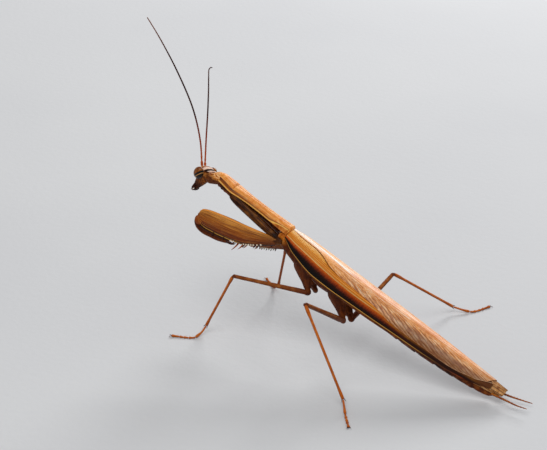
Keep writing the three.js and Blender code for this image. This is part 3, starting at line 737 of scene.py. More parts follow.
def right_wing_material():
    """The right tegmen lies on top: tan in front, then pink-brown with veins that fan to its edge, with
    painted highlight streaks along its top.
    """
    look = Look("wing_tan_right", roughness=0.42, specular=0.3, coat=0.05, coat_roughness=0.3)
    cloud = look.noise(1.4, 4)
    fine = look.noise(0.3)
    side = look.v.abs()
    fan = (side + 0.15).log() - look.u * 0.09 + (cloud - 0.5) * 0.04
    pink = look.ramp(cloud * 0.6 + fine * 0.4, (0.34, "#de8a40"), (0.5, "#fcac60"), (0.66, "#ffcc98"))
    grey = look.ramp(cloud * 0.5 + fine * 0.5, (0.35, "#a86e42"), (0.55, "#d89a66"), (0.72, "#f8c898"))
    low = side.slope(0.25, 0.55) * look.u.slope(7.0, 14.0)
    look.colour = look.blend(low * 0.85, pink, grey)
    slanting = side.slope(0.18, 0.34)
    lengthwise = side.slope(0.34, 0.18)
    flow = look.streaks(5.0, 0.05, 2)
    look.paint("#c4621c", lengthwise * flow.slope(0.5, 0.6) * 0.6)
    look.paint("#ffe2c8", lengthwise * flow.slope(0.46, 0.36) * 0.7)
    dashes = look.streaks(1.6, 0.1, 2, across=fan)
    look.paint("#a04c16", slanting * dashes.slope(0.5, 0.6) * 0.6)
    look.paint("#ffdab0", slanting * dashes.slope(0.46, 0.37) * 0.6)
    veins = fan.waves(FAN_PERIOD) * look.u.slope(6.0, 14.0) * side.slope(0.15, 0.35)
    look.paint("#6a3414", veins * 0.65)
    fine_lines = (look.v + look.u * 0.003).waves(0.08, 0.45) * lengthwise
    look.paint("#a84816", fine_lines * look.u.slope(5.0, 12.0) * 0.6)
    tan = look.ramp(fine, (0.3, "#de8a30"), (0.6, "#ffb460"))
    look.paint(tan, look.u.slope(14.0, 5.0) * 0.8)
    # painted highlights: two white streaks along the front of the top
    near = (look.v + look.u * 0.014).band(0.0, 0.02, 0.025) * look.u.slope(7.0, 5.0)
    far = (look.v + look.u * 0.02).band(0.13, 0.022, 0.03) * look.u.slope(14.0, 10.0)
    look.paint("#fff8ee", near.largest(far))
    # painted highlight: a pale line just inside the upper outline
    look.paint("#ffe2bc", look.v.band(0.24, 0.02, 0.06) * look.u.slope(34.0, 20.0) * 0.7)
    look.paint("#946440", look.u.slope(34.0, 41.0) * 0.4)
    look.paint("#6a3c1c", side.slope(0.35, 0.47) * look.u.slope(19.0, 27.0) * 0.6)
    top = look.colour
    paint_wing_wall(look, cloud, fine)
    look.colour = look.blend(look.v.slope(0.42, 0.44), top, look.colour)
    return look.finish((fine, 0.004), (veins, 0.008))


def wing_edge_material():
    """The raised vein along the edge of the right tegmen: painted dark near its front as the shadow along
    the step onto the left tegmen, pale at the tip.
    """
    look, cloud = mottled("wing_edge", 0.6, 4, (0.3, "#5f2a0a"), (0.7, "#8c4a18"), roughness=0.4)
    middle = look.ramp(cloud, (0.3, "#b06a30"), (0.7, "#d8935a"))
    pale = look.ramp(cloud, (0.3, "#d09466"), (0.7, "#f4c8a0"))
    # painted shadow: the dark base colour is left showing from about 3 to 11 millimetres
    look.paint(middle, look.u.slope(5.0, 3.0).largest(look.u.slope(8.0, 11.0)))
    look.paint(pale, look.u.slope(26.0, 32.0))
    return look.finish((cloud, 0.01))


def veil_material():
    """The folded hindwing: tan pleats with dark lines between them."""
    look, cloud = mottled("veil_brown", 0.6, 4, (0.3, "#9c5e2e"), (0.5, "#d09656"), (0.72, "#f2c088"),
                          roughness=0.36, specular=0.25)
    pleats = (look.v + (cloud - 0.5) * 0.01).waves(PLEAT_PERIOD, 0.45)
    fibres = look.streaks(2.0, 0.02)
    look.paint("#7c4418", fibres.slope(0.5, 0.66) * 0.5)
    look.paint("#3a1604", pleats * 0.9)
    return look.finish((fibres, 0.02))


def eye_material():
    """Ochre eye with two dark bars and a pale line between them round its rear edge."""
    look, cloud = mottled("eye_brown", 0.4, 4, (0.3, "#5e2a06"), (0.5, "#82430c"), (0.75, "#b07022"),
                          roughness=0.26, specular=0.2, coat=0.15, coat_roughness=0.1, local=HEAD)
    across = look.x - (look.z + 0.56) * 0.49 + (cloud - 0.5) * 0.08
    look.paint("#0d0401", across.slope(-0.22, -0.1))
    look.paint("#c08a4c", across.band(0.25, 0.03, 0.05))
    look.paint("#3a1604", (look.z + 0.12).slope(-0.6, -1.0) * 0.6)
    return look.finish((look.cells(0.045, feature="F1", random=0.25), 0.012))


def palp_material():
    """Dark feeler of the mouth with one pale joint."""
    look, _ = mottled("palp_dark", 0.3, 4, (0.3, "#160602"), (0.5, "#301005"), (0.72, "#66300c"),
                      roughness=0.4)
    look.paint("#fff2e2", look.u.band(0.55, 0.13, 0.05))
    return look.finish((look.noise(0.1, 2), 0.02))


def antenna_material():
    """Orange at its foot, dark brown further out, brown at its tip."""
    look = Look("antenna_brown", roughness=0.5)
    look.start(look.u * (1 / ANTENNA_LENGTH), (0.0, "#cc5c1a"), (0.16, "#9c3a12"), (0.36, "#38120a"),
               (0.8, "#32100a"), (1.0, "#7a3c1c"))
    grain = look.noise(0.08, 2)
    look.paint("#20100a", grain.slope(0.45, 0.7) * 0.4)
    return look.finish((grain, 0.01))


def limb_material(name, dark, mid, light, under, base=None):
    """A leg: streaked lengthwise, and darker along its lower side as painted shade. v is the turn round the
    limb.

    base is the colour of its first few millimetres."""
    look = Look(name)
    cloud = look.noise(0.9, 4)
    streak = look.streaks(5.0, 0.04, 4)
    look.start(cloud * 0.35 + streak * 0.65, (0.36, dark), (0.5, mid), (0.64, light))
    look.paint(dark, streak.slope(0.52, 0.62) * 0.6)
    # painted shade: the colour under darkens the limb's lower side
    look.paint(under, (look.v - 0.5).abs().slope(0.36, 0.08) * 0.8)
    if base:
        look.paint(base, (look.u + cloud * 2.0).slope(6.0, 1.5) * 0.8)
    return look.finish((look.noise(0.07, 2), 0.015))


def grasping_femur_material():
    """u runs from the knee, v from the lower edge (-1) to the upper edge (1). Lighter towards the upper
    edge and darker towards the lower, partly its own colour and partly painted light and shade; the black
    along the lower edge is a painted shadow.
    """
    look = Look("femur_orange", roughness=0.42, specular=0.2)
    streak = look.streaks(6.0, 0.12, 4)
    thin = look.streaks(4.0, 0.035)
    cloud = look.noise(1.2, 4)
    level = look.v + (streak - 0.5) * 0.6 + (cloud - 0.5) * 0.3
    # dark at the lower edge to light at the upper: partly the femur's own colour, partly painted light
    # above and painted shade below
    look.start(level * 0.5 + 0.5, (0.05, "#3e1202"), (0.28, "#7c3205"), (0.5, "#aa5a13"),
               (0.75, "#c67a26"), (0.95, "#de9438"))
    look.paint("#652403", thin.slope(0.5, 0.58) * 0.8)
    look.paint("#e8ac54", thin.slope(0.46, 0.36) * 0.4)
    for middle, share in ((0.42, 0.5), (0.05, 0.4), (-0.38, 0.7)):
        line = (look.v + (cloud - 0.5) * 0.3).band(middle, 0.02, 0.14)
        look.paint("#5a2003", line * share * streak.slope(0.3, 0.6))
    look.paint("#f09638", look.v.band(0.93, 0.03, 0.05) * 0.8)
    look.paint("#542404", look.u.slope(9.5, 13.0) * 0.5)
    # painted shade: darker towards the lower edge
    look.paint("#3a1203", look.v.slope(-0.6, -0.76) * 0.75)
    # painted shadow: black along the lower edge
    look.paint("#160602", look.v.slope(-0.8, -0.9) * look.u.slope(5.0, 6.5))
    look.paint("#e0a444", look.v.band(-0.84, 0.025, 0.04) * look.u.slope(9.0, 7.0) * 0.8)
    return look.finish((thin, 0.04), (look.noise(0.07, 2), 0.012))


def thorax_material():
    """Orange-brown in front of the wings, dark brown below them."""
    look, cloud = mottled("thorax_brown", 0.6, 5, (0.3, "#98440a"), (0.5, "#cc701a"), (0.72, "#f4a044"),
                          local=TRUNK)
    dark = look.ramp(cloud, (0.3, "#2c1003"), (0.5, "#552206"), (0.72, "#7c3e10"))
    look.paint(dark, (look.x - look.z * 0.9 + (cloud - 0.5) * 1.6).slope(-0.4, 1.2))
    return look.grained(0.02, 0.02, 0.15)


def abdomen_material():
    """Dark brown, a little redder towards the tip. u is the distance along the trunk."""
    look, cloud = mottled("abdomen_brown", 0.8, 5, (0.3, "#220b03"), (0.5, "#4a1c06"), (0.72, "#854216"))
    tip = look.ramp(cloud, (0.3, "#3c1605"), (0.5, "#6c300c"), (0.72, "#a05c24"))
    look.paint(tip, (look.u + cloud * 3.0).slope(34.0, 40.0))
    return look.grained(0.02, 0.014, 0.12)


def floor_material():
    look, _ = mottled("floor_pale", 90.0, 4, (0.3, "#d0d1d3"), (0.7, "#d7d8d9"), roughness=0.85)
    return look.finish((look.noise(1.2, 4), 0.05))


HEAD_SHELL = head_material()
MOUTH = cuticle("mouth_dark", "#160602", "#301005", "#66300c", grain=0.3)
PALP = palp_material()
COXA = cuticle("coxa_brown", "#3a1303", "#602806", "#7a3e0e", grain=0.9, fibres=0.5)
FORE_COXA = cuticle("coxa_dark", "#160501", "#482006", "#86501a", grain=1.3, fibres=0.85)
BELLY = cuticle("belly_brown", "#220b03", "#4a1c06", "#854216", grain=0.8, fibres=0.3)
MEMBRANE = cuticle("membrane_tan", "#9c4c10", "#c87626", "#eaa44e", grain=0.4, roughness=0.5)
THORN = cuticle("thorn_dark", "#120402", "#300e04", "#6e2a0a", grain=0.3, coat=0.2, bump=0.006)
THORN_RED = cuticle("thorn_red", "#5a1c06", "#94420f", "#cc7630", grain=0.3, coat=0.2, bump=0.006)
THORN_PALE = cuticle("thorn_pale", "#d8b080", "#f6e4c8", "#fffaf0", grain=0.2, coat=0.2, bump=0.006)
THORAX = thorax_material()
ABDOMEN = abdomen_material()
NECK = neck_material()
SHIELD = shield_material()
# painted highlight: the neck's front rim is coloured pale where the light catches it
RIM_HIGHLIGHT = cuticle("rim_painted_highlight", "#d8a888", "#f4d8c4", "#fff0e4", grain=0.3, bump=0.01)
WING_LEFT = left_wing_material()
WING_RIGHT = right_wing_material()
WING_EDGE = wing_edge_material()
VEIL = veil_material()
EYE_LOOK = eye_material()
ANTENNA = antenna_material()
FEMUR = grasping_femur_material()
THIGH = limb_material("thigh_brown", "#612a09", "#99501b", "#c88842", "#461804", base="#5a2208")
LEG = limb_material("leg_brown", "#682a07", "#a25418", "#d48a38", "#4c1c04")
SHIN = limb_material("shin_orange", "#98450e", "#c6641a", "#ea923e", "#80360a")
TIBIA = limb_material("tibia_dark", "#2c0c01", "#5e2406", "#985014", "#1a0601")

# ---------- Head ----------

# height over the head's middle, half width, and depth in front and behind
HEAD_STOPS = [
    (-2.6, 0.46, 0.46, 0.7), (-1.9, 0.75, 0.6, 1.0), (-1.1, 1.1, 0.72, 1.22), (-0.3, 1.5, 0.82, 1.25),
    (0.4, 1.7, 0.82, 0.98), (0.8, 1.35, 0.62, 0.72), (0.98, 0.8, 0.38, 0.42), (1.03, 0.2, 0.1, 0.12),
]
# height, half width, and the positions of its front and back
LIP_STOPS = [(-3.6, 0.08, -0.38, -0.1), (-3.35, 0.3, -0.43, 0.25), (-3, 0.43, -0.45, 0.5),
             (-2.5, 0.45, -0.44, 0.66)]


def eye_points(sign):
    """The compound eye in the head's frame: an upright egg, a little pointed at its top."""
    points = ball(72, 96, 0.02)[0] * EYE["size"]
    x, y, z = np.moveaxis(points, -1, 0)
    x = x * (1 - 0.08 * z / EYE["size"][2])
    a = np.radians(-sign * EYE["turn"])
    y, z = y * np.cos(a) - z * np.sin(a), y * np.sin(a) + z * np.cos(a)
    return np.stack([x, y, z], -1) + np.array(EYE["at"]) * (1, sign, 1)


def head_capsule():
    """The head without its eyes: rings from the lip to the crown, with grooves and swellings."""
    heights = np.concatenate([np.linspace(-2.6, 0.7, 76), np.linspace(0.72, 1.03, 30)])
    angle = circle(144)
    half, front, back = [column(heights[:, None]) for column in columns(HEAD_STOPS)]
    c, s = np.cos(angle)[None], np.sin(angle)[None]
    depth = np.where(c > 0, back, front)
    x, y, z = c * depth, s * half, heights[:, None] + 0 * c
    grow = np.zeros_like(x)
    face = smooth(-c, 0.1, 0.5)
    # the face: the line over the clypeus, two grooves beside it, the low brow, and the line of the lip
    grow -= 0.035 * bump_at(z, -1.35, 0.05) * face
    grow -= 0.03 * bump_at(np.abs(y), 0.42 + 0.1 * (z + 1.3), 0.05) * face * smooth(z, -1.4, -1.2)
    grow += 0.07 * bump_at(z, -0.35, 0.22) * bump_at(y, 0, 0.5) * face
    grow -= 0.04 * bump_at(z, -2.0, 0.04) * face
    # the cheeks: an oblique groove from the eye to the mouth
    grow -= 0.04 * bump_at(x - 0.35 - 0.25 * (z + 1), 0, 0.06) * smooth(-z, 0.4, 0.8)
    grow -= 0.03 * bump_at(x - 0.75 - 0.25 * (z + 1), 0, 0.05) * smooth(-z, 0.2, 0.6)
    # four grooves over the crown of the head
    for line in (0.32, 0.85):
        grow -= 0.035 * bump_at(np.abs(y), line, 0.05) * smooth(z, 0.3, 0.7)
    # a raised ring round each eye
    for sign in (-1, 1):
        from_eye = np.stack([x, y - sign * EYE["at"][1], z - EYE["at"][2]], -1)
        reach = np.linalg.norm(from_eye / EYE["size"], axis=-1)
        grow += 0.06 * bump_at(reach, 1.12, 0.06) - 0.04 * bump_at(reach, 1.3, 0.06)
    grid = in_head(np.stack([x + grow * c, y + grow * s, z], -1))
    return skin(grid, heights)


def make_head():
    skins = [head_capsule()]
    for sign in (-1, 1):
        skins.append(dome((-0.74, sign * 0.42, 0.42), (0.3, 0.25, 0.26), in_head, look=1))
    for y, z in ((0, 0.5), (-0.17, 0.68), (0.17, 0.68)):
        skins.append(dome((-0.7, y, z), (0.1, 0.1, 0.1), in_head, look=2))
    build("head", skins, [HEAD_SHELL, MEMBRANE, THORN_PALE])
    for side, sign in SIDES.items():
        local = eye_points(sign)
        piece = skin(in_head(local), local[..., 0], local[..., 2])
        build(f"eye_{side}", [piece], [EYE_LOOK])


def make_mouthparts():
    """The upper lip, and on each side a jaw, an outer palp with a pale joint and an inner palp."""
    levels = np.linspace(-2.5, -3.6, 30)
    wide, front, back = [column(levels[:, None]) for column in columns(LIP_STOPS)]
    angle = circle(40)
    grid = np.stack([(front + back) / 2 + np.cos(angle) * (back - front) / 2, np.sin(angle) * wide,
                     levels[:, None] + 0 * angle], -1)
    grid[..., 0] -= 0.03 * bump_at(grid[..., 1], 0, 0.06)
    skins = [skin(in_head(grid), levels)]
    jaw_radius = along([[0, 0.2], [0.5, 0.2], [1, 0.03]])
    palp_radius = rounded([[0, 0.09], [0.8, 0.085], [1, 0.06]], 0.04, 0.1)
    for sign in (-1, 1):
        jaw = in_head([(-0.1, sign * 0.4, -2.5), (-0.12, sign * 0.42, -3.05), (-0.26, sign * 0.1, -3.62)])
        skins.append(tube(jaw, jaw_radius, steps=20, sides=14, look=1))
        for x, y, segments, look in ((0.3, 0.36, 5, 2), (0.5, 0.24, 3, 0)):
            knots = in_head([(x, sign * y, -2.7), (x - 0.02, sign * (y + 0.16), -3.05),
                             (x - 0.18, sign * (y + 0.14), -3.35), (x - 0.46, sign * (y + 0.06), -3.66)])
            joints = lambda t, angle: -0.03 * bump_at((t * segments) % 1.0, 0.02, 0.12)
            skins.append(tube(knots, palp_radius, sides=12, relief=joints, look=look))
    build("mouthparts", skins, [MOUTH, THORN, PALP])


def make_antennae():
    """Beaded feelers with a thick foot and short hairs."""
    beads = along([[0, 60], [0.3, 70], [1, 90]])
    thick = rounded([[0, 0.2], [0.028, 0.2], [0.034, 0.12], [0.06, 0.15], [0.07, 0.13], [0.5, 0.125],
                     [1, 0.075]], 0.006, 0.01)
    joints = lambda t, angle: 0.014 * np.sin(beads(t) * 2 * np.pi * t) * smooth(t, 0.07, 0.09)
    for side, sign in SIDES.items():
        knots = [in_head((-0.95, sign * 0.42, 0.5)), *ANTENNAE[side]]
        feeler = tube(knots, thick, steps=900, sides=10, relief=joints, crowd=0.0)
        curve = route(knots)
        t = np.linspace(0.08, 0.99, 150)
        ahead = unit(curve(t + 0.005) - curve(t))
        hairs = hairs_round(curve(t), ahead, (0.2, 1, 0.1), 0.08, 0.9, 0.16, 0.012)
        build(f"antenna_{side}", [feeler, *hairs], [ANTENNA])


# ---------- Prothorax and neck ----------

shield_width = along([
    [0, 0.65], [0.5, 0.95], [1.6, 1.25], [3.5, 1.65], [5, 1.4], [7, 1.15], [9.2, 1.1], [12.4, 1.28],
    [15, 1.5]])
shield_height = along([
    [0, 0.95], [0.9, 1.2], [2.8, 1.08], [3.9, 0.98], [5.4, 0.98], [9.4, 1.05], [12.9, 1.15], [15, 1.2]])


def make_pronotum():
    distance = spaced(230, 0.25) * PRONOTUM_LENGTH
    share = np.linspace(-1, 1, 97)
    d, s = distance[:, None], share[None]
    edge = np.abs(s)
    rise = np.sqrt(1 - np.clip(edge * 1.04, 0, 1) ** 2.2)
    half, height = shield_width(d), shield_height(d)
    z = 0.1 + (height - 0.1) * rise
    # the keel, the groove across it, the furrow inside the margin, and the lips at both ends
    z += 0.07 * bump_at(s, 0, 0.05) * smooth(d, 0.5, 2)
    z -= 0.1 * bump_at(d - 3.45 - 0.35 * edge**2, 0, 0.13) * smooth(edge, 0.95, 0.5)
    z -= 0.09 * bump_at(edge, 0.72, 0.1) * smooth(d, 8, 4)
    z += 0.05 * bump_at(d, 0.18, 0.14) * smooth(edge, 1, 0.7)
    z += 0.04 * bump_at(d, PRONOTUM_LENGTH - 0.3, 0.15)
    z -= 0.18 * smooth(d, PRONOTUM_LENGTH - 0.25, PRONOTUM_LENGTH)
    # fine teeth along the margin
    y = s * half + np.sign(s) * 0.035 * crest(d, 0.42) * smooth(edge, 0.93, 1.0)
    x = d - PRONOTUM_LENGTH + 0.12 * (1 - edge**2) * smooth(d, 14, 15)
    top = np.stack([x + 0 * s, y + 0 * d, z], -1)
    under_z = np.where(edge > 0.86, -0.02 + 0 * d, -0.02 + (0.86 - edge) * 0.6 * (height - 0.35))
    under = np.stack([x + 0 * s, y * 0.985, np.minimum(under_z, z - 0.08)], -1)[:, ::-1]
    grid = in_prothorax(np.concatenate([top, under], 1))
    u = np.broadcast_to(d, (len(distance), 2 * len(share)))
    v = np.broadcast_to(np.concatenate([share, share[::-1]]), u.shape)
    build("pronotum", [skin(grid, u, v, caps="strip")], [SHIELD])


def ring_loft(x, half, top, bottom, sides, fullness, place, relief):
    """Rings across X. relief(x, angle) adds millimetres outwards."""
    angle = circle(sides)
    c, s = squared(np.cos(angle), 1 / fullness), squared(np.sin(angle), 1 / fullness)
    half, top, bottom = [np.asarray(a)[:, None] for a in (half, top, bottom)]
    extra = relief(x[:, None], angle[None])
    y = half * c + extra * np.cos(angle)
    z = (top + bottom) / 2 + (top - bottom) / 2 * s + extra * np.sin(angle)
    grid = np.stack([x[:, None] + 0 * y, y, z], -1)
    return skin(place(grid), x)


def make_prosternum():
    half = along([[0, 0.5], [1.2, 0.85], [3.4, 1.05], [5.5, 0.8], [10, 0.72], [14.3, 1]])
    depth = along([[0, 0.95], [1.4, 1.2], [3.6, 1.25], [6, 1], [10, 1], [14.3, 1.4]])
    d = np.linspace(0.2, 13.4, 120)
    relief = lambda x, a: (0.05 * np.sin(x * 9) * np.sin(3 * a + x) * smooth(-x, 9, 11)
                           - 0.05 * bump_at((x + 11.5) % 1.4, 0.7, 0.1))
    under = np.minimum(1, (d - 0.05) / 0.4)
    loft = ring_loft(d - PRONOTUM_LENGTH, half(d) * under, np.full(len(d), 0.3), -depth(d) * under, 48, 1.2,
                     in_prothorax, relief)
    build("prosternum", [loft], [BELLY])


def make_neck():
    """Skin between head and shield, its front rim behind the crown painted pale as a highlight, and a
    creased plate below.
    """
    front = -PRONOTUM_LENGTH
    knots = [*in_head([(0.8, 0, -0.15), (1.5, 0, 0.02)]), in_prothorax((front + 0.5, 0, 0.22))]
    folds = lambda t, a: 0.01 * np.sin(t * 2 * np.pi * 5.5) + 0.035 * np.sin(9 * a + 5 * t) ** 3
    radius = along([[0, 0.9], [0.4, 0.86], [0.7, 0.96], [1, 0.95]])
    skins = [tube(knots, radius, steps=60, sides=40, relief=folds)]
    plate_radius = rounded([[0, 0.24], [0.6, 0.3], [1, 0.2]], 0.3, 0.3)
    for sign in (-1, 1):
        plate = [in_head((1.2, sign * 0.6, -0.5)),
                 *in_prothorax([(front - 0.35, sign * 0.62, -0.2), (front + 0.4, sign * 0.6, -0.25)])]
        skins.append(tube(plate, plate_radius, steps=24, sides=16, flatten=0.6))
    # painted highlight: the pale rim behind the crown
    rim = in_head([(0.72, -0.2, 0.76), (0.8, 0.5, 0.83), (0.93, 1.0, 0.87), (1.02, 1.4, 0.8)])
    skins.append(tube(rim, rounded([[0, 0.1], [1, 0.1]], 0.1, 0.1), steps=60, sides=16, look=1))
    build("neck", skins, [NECK, RIM_HIGHLIGHT])


# ---------- Trunk ----------

thorax_half = along([[-1.1, 1.1], [-0.2, 1.45], [1.4, 1.75], [3.6, 1.85], [11.6, 1.85], [13.4, 1.8]])
thorax_top = along([[-1.1, 1.3], [-0.2, 1.35], [1.4, 1.4], [3.6, 1.35], [7, 1.2], [11.6, 1], [13.4, 0.9]])
thorax_bottom = along([
    [-1.1, 0.1], [-0.2, -0.6], [1.4, -1.35], [3.6, -2], [7, -2.55], [9, -2.85], [11.6, -2.6],
    [13.4, -2.15]])


def make_thorax():
    def seams(x, a):
        side = smooth(np.abs(np.cos(a)), 0.3, 0.8)
        slant = x + 1.1 * np.sin(a)
        cuts = sum(bump_at(slant, at, 0.09) for at in (0.8, 2.9, 5.0, 8.3, 10.4))
        return -0.09 * cuts * side + 0.05 * np.sin(4 * a) * side

    for name, low, high in (("mesothorax", -1.1, 7.0), ("metathorax", 7.05, 13.4)):
        x = spaced(90, 0.4) * (high - low) + low
        ends = 0.86 + 0.14 * np.sqrt(np.clip(np.minimum(x - low, high - x) / 0.25, 0, 1))
        skins = [ring_loft(x, thorax_half(x) * ends, thorax_top(x) * ends, thorax_bottom(x) * ends,
                           64, 1.25, in_trunk, seams)]
        if name == "mesothorax":
            # the shoulders of the wings and the plate between them
            for y, z, size in ((-1.3, 0.6, (0.85, 0.55, 1.1)), (1.3, 0.6, (0.85, 0.55, 1.1)),
                               (0, 1.5, (1.0, 1.3, 0.8))):
                skins.append(dome((-0.1, y, z), size, in_trunk, rows=40, cols=60))
        build(name, skins, [THORAX])


def make_abdomen():
    """Eight overlapping segments that narrow to the tail, creased along both flanks."""
    half = along([[0, 1.75], [4, 1.8], [12, 1.65], [18, 1.3], [23, 0.9], [26, 0.65], [27.6, 0.4]])
    top = along([[0, 0.85], [6, 0.75], [14, 0.6], [20, 0.4], [24, 0.25], [27.6, 0]])
    bottom = along([[0, -2], [4, -2.1], [12, -2.12], [18, -1.92], [23, -1.54], [26.2, -1.05], [27.6, -0.6]])
    segments = 8
    d = spaced(330, 0.2) * ABDOMEN_LENGTH
    phase = (d / ABDOMEN_LENGTH * segments) % 1.0
    swell = 0.955 + 0.045 * smooth(phase, 0, 0.3) + 0.02 * smooth(phase, 0.6, 0.97)
    swell *= 0.2 + 0.8 * np.sqrt(np.clip((ABDOMEN_LENGTH - d) / 0.7, 0, 1))

    def plates(x, a):
        fold = bump_at(np.abs(np.cos(a)), 0.97, 0.03)
        return -0.07 * fold + 0.015 * np.sin(x * 31 + 2 * np.sin(3 * a))

    loft = ring_loft(ABDOMEN_START + d, half(d) * swell, top(d) * swell, bottom(d) * swell, 64, 1.15,
                     in_trunk, plates)
    build("abdomen", [loft], [ABDOMEN])


# ---------- Wings ----------

# the wings' cross section along the trunk: the crown in the middle, the ridge, and the lower margin
crown = along([[0.4, 2.45], [3, 2.55], [12, 2.45], [22, 2.35], [30, 2.25], [36, 2.1], [40, 2], [42.4, 1.8]])
ridge_height = along([[0.4, 1.5], [4, 1.4], [14, 1.2], [24, 1.1], [32, 1], [38, 0.9], [42.4, 0.75]])
ridge_width, margin_width, margin_height = columns([
    (0.4, 1.7, 1.9, 1.3), (3, 2.4, 2.55, 0.15), (8, 2.65, 2.85, -1), (16, 2.6, 2.75, -1.2),
    (24, 2.4, 2.45, -1), (31, 2.05, 2.05, -0.7), (36, 1.65, 1.55, -0.4), (40, 1.2, 1, 0),
    (42.4, 0.7, 0.6, 0.3)])
# the line v where the right tegmen's edge lies on the left one, and the pale second vein
suture = along([
    [0.4, 0], [2.4, -0.13], [5.6, -0.17], [7.4, -0.27], [9, -0.39], [12, -0.47], [16, -0.5], [19, -0.54],
    [21.5, -0.65], [25, -0.7], [30, -0.74], [32.8, -0.78], [34.6, -0.74], [36.4, -0.63], [38.8, -0.45],
    [40.2, -0.3]])
vein_share = along([[1, 0.485], [4, 0.52], [8, 0.55], [12, 0.59], [15, 0.615], [42.4, 0.615]])
# the share of the half width at which the flat top turns down into the steep side
RIDGE_AT = 0.55


def wing_point(x, across, depth):
    """A point of the closed wings in the trunk's frame, depth below their common surface.

    x is the distance from the wing base, across runs from -1 at the left margin to 1 at the right."""
    share = np.abs(across)
    roof = np.minimum(1, share / RIDGE_AT)
    wall = np.maximum(0, (share - RIDGE_AT) / (1 - RIDGE_AT))
    y = ridge_width(x) * roof + (margin_width(x) - ridge_width(x)) * wall**0.6
    z = (ridge_height(x) + (crown(x) - ridge_height(x)) * (1 - roof**2.2)
         + (margin_height(x) - ridge_height(x)) * wall)
    tilt = np.minimum(1, share / (RIDGE_AT * 1.25)) ** 2 * np.pi / 2
    y = np.sign(across) * np.maximum(0.0, y - depth * np.sin(tilt))
    return np.stack([x, y, z - depth * np.cos(tilt)], -1)


def wing_sheet(length, edge, other, apex, depth, thickness, steps, lanes, relief, start=0.35, blunt=0.1):
    """A thin closed sheet between two edges, rounded at its far end.

    apex is the lane that reaches furthest, blunt the share of the length that the end's curve takes."""
    p = spaced(steps, 0.3)[:, None]
    q = np.linspace(0, 1, lanes)[None]
    roundness = np.clip(1 - ((q - apex) / max(apex, 1 - apex)) ** 2, 0, 1)
    reach = length * (1 - blunt + blunt * np.sqrt(roundness))
    x = start + (reach - start) * p
    across = edge(x) + (other(x) - edge(x)) * q
    d = depth(x, across)
    outer = in_trunk(wing_point(x, across, d - relief(x, across)))
    inner = in_trunk(wing_point(x, across, d + thickness))
    grid = np.concatenate([outer, inner[:, ::-1]], 1)
    u = np.concatenate([x, x[:, ::-1]], 1)
    v = np.concatenate([across, across[:, ::-1]], 1)
    return skin(grid, u, v, caps="strip")


def vein_relief(right):
    """Raised veins, ribs and furrows of a tegmen, as a height over its sheet."""
    def value(x, across):
        side = np.abs(across)
        above = vein_share(x) - side
        front = smooth(-x, -21, -17)
        lift = 0.06 * bump_at(above, 0, 0.012) * front + 0.06 * bump_at(side, 0.985, 0.02)
        for line in (1, 2, 3):
            lift = lift + 0.02 * bump_at(above, line * VEIN_PERIOD, 0.012) * front
        fade = smooth(above, 0.1, 0.18)
        if right:
            fan = np.log(side + 0.15) - 0.09 * x
            fade = fade * smooth(x, 6, 14) * smooth(side, 0.15, 0.35)
            lift = lift + 0.025 * fade * crest(fan, FAN_PERIOD, 3)
            near = bump_at(across + 0.014 * x, 0, 0.025) * smooth(-x, -6.5, -4.5)
            far = bump_at(across + 0.02 * x, 0.13, 0.03) * smooth(-x, -13, -9)
            lift = lift + 0.05 * np.maximum(near, far)
        else:
            lift = lift + 0.018 * fade * crest(across + 0.004 * x, RIB_PERIOD, 2)
        wall = smooth(above, -0.02, -0.06) * smooth(side, 0.94, 0.88)
        return lift + 0.012 * wall * np.cos(2 * np.pi * (0.9 * x + 5 * side) / 0.34)
    return value


def make_wings():
    """The left tegmen dips under the right one, whose edge carries a raised vein."""
    step = along([[0, 0.17], [8, 0.14], [12, 0.08], [30, 0.08], [36, 0.14], [42.4, 0.17]])
    under = lambda x, across: step(x) * smooth(across, suture(x) - 0.05, suture(x) + 0.01)
    left = wing_sheet(TEGMEN_LENGTH, lambda x: -1.0, lambda x: UNDERLAP + 0 * x, 0.5, under,
                      TEGMEN_THICKNESS, 430, 190, vein_relief(False), blunt=0.17)
    build("tegmen_left", [left], [WING_LEFT])
    right = wing_sheet(TEGMEN_LENGTH, lambda x: 1.0, suture, 0.6, lambda x, across: 0.0,
                       TEGMEN_THICKNESS, 430, 210, vein_relief(True))
    x = np.linspace(1.5, 41.0, 60)
    edge = in_trunk(wing_point(x, suture(x), -0.01))
    thin = rounded([[0, 0.04], [0.2, 0.045], [0.3, 0.02], [0.75, 0.02], [1, 0.03]], 0.02, 0.02)
    vein = tube(edge, thin, steps=300, sides=8, look=1, crowd=0.0)
    build("tegmen_right", [right, vein], [WING_RIGHT, WING_EDGE])


def make_hindwings():
    """Folded under the tegmina in layers. They show further down the left side than the right."""
    reach = {"left": along([[28, 0.5], [33, 0.93], [42.4, 0.98]]),
             "right": along([[38, 0.5], [42.4, 0.58]])}
    sink = along([[12, 0.75], [30, 0.6], [35, 0.4], [39, 0.26], [42.4, 0.06]])

    def pleats(x, across):
        return (0.03 + 0.04 * smooth(x, 34, 41)) * np.cos(np.abs(across) / PLEAT_PERIOD * 2 * np.pi)

    for side, sign in SIDES.items():
        skins = []
        for layer in range(HINDWING_LAYERS):
            depth = lambda x, across: sink(x) + LAYER_STEP * layer
            skins.append(wing_sheet(HINDWING_LENGTH - 0.2 * layer, lambda x: sign * reach[side](x),
                                    lambda x: 0 * x, 0.7, depth, HINDWING_THICKNESS, 170, 90, pleats,
                                    start=12.0, blunt=0.045))
        build(f"hindwing_{side}", skins, [VEIL])


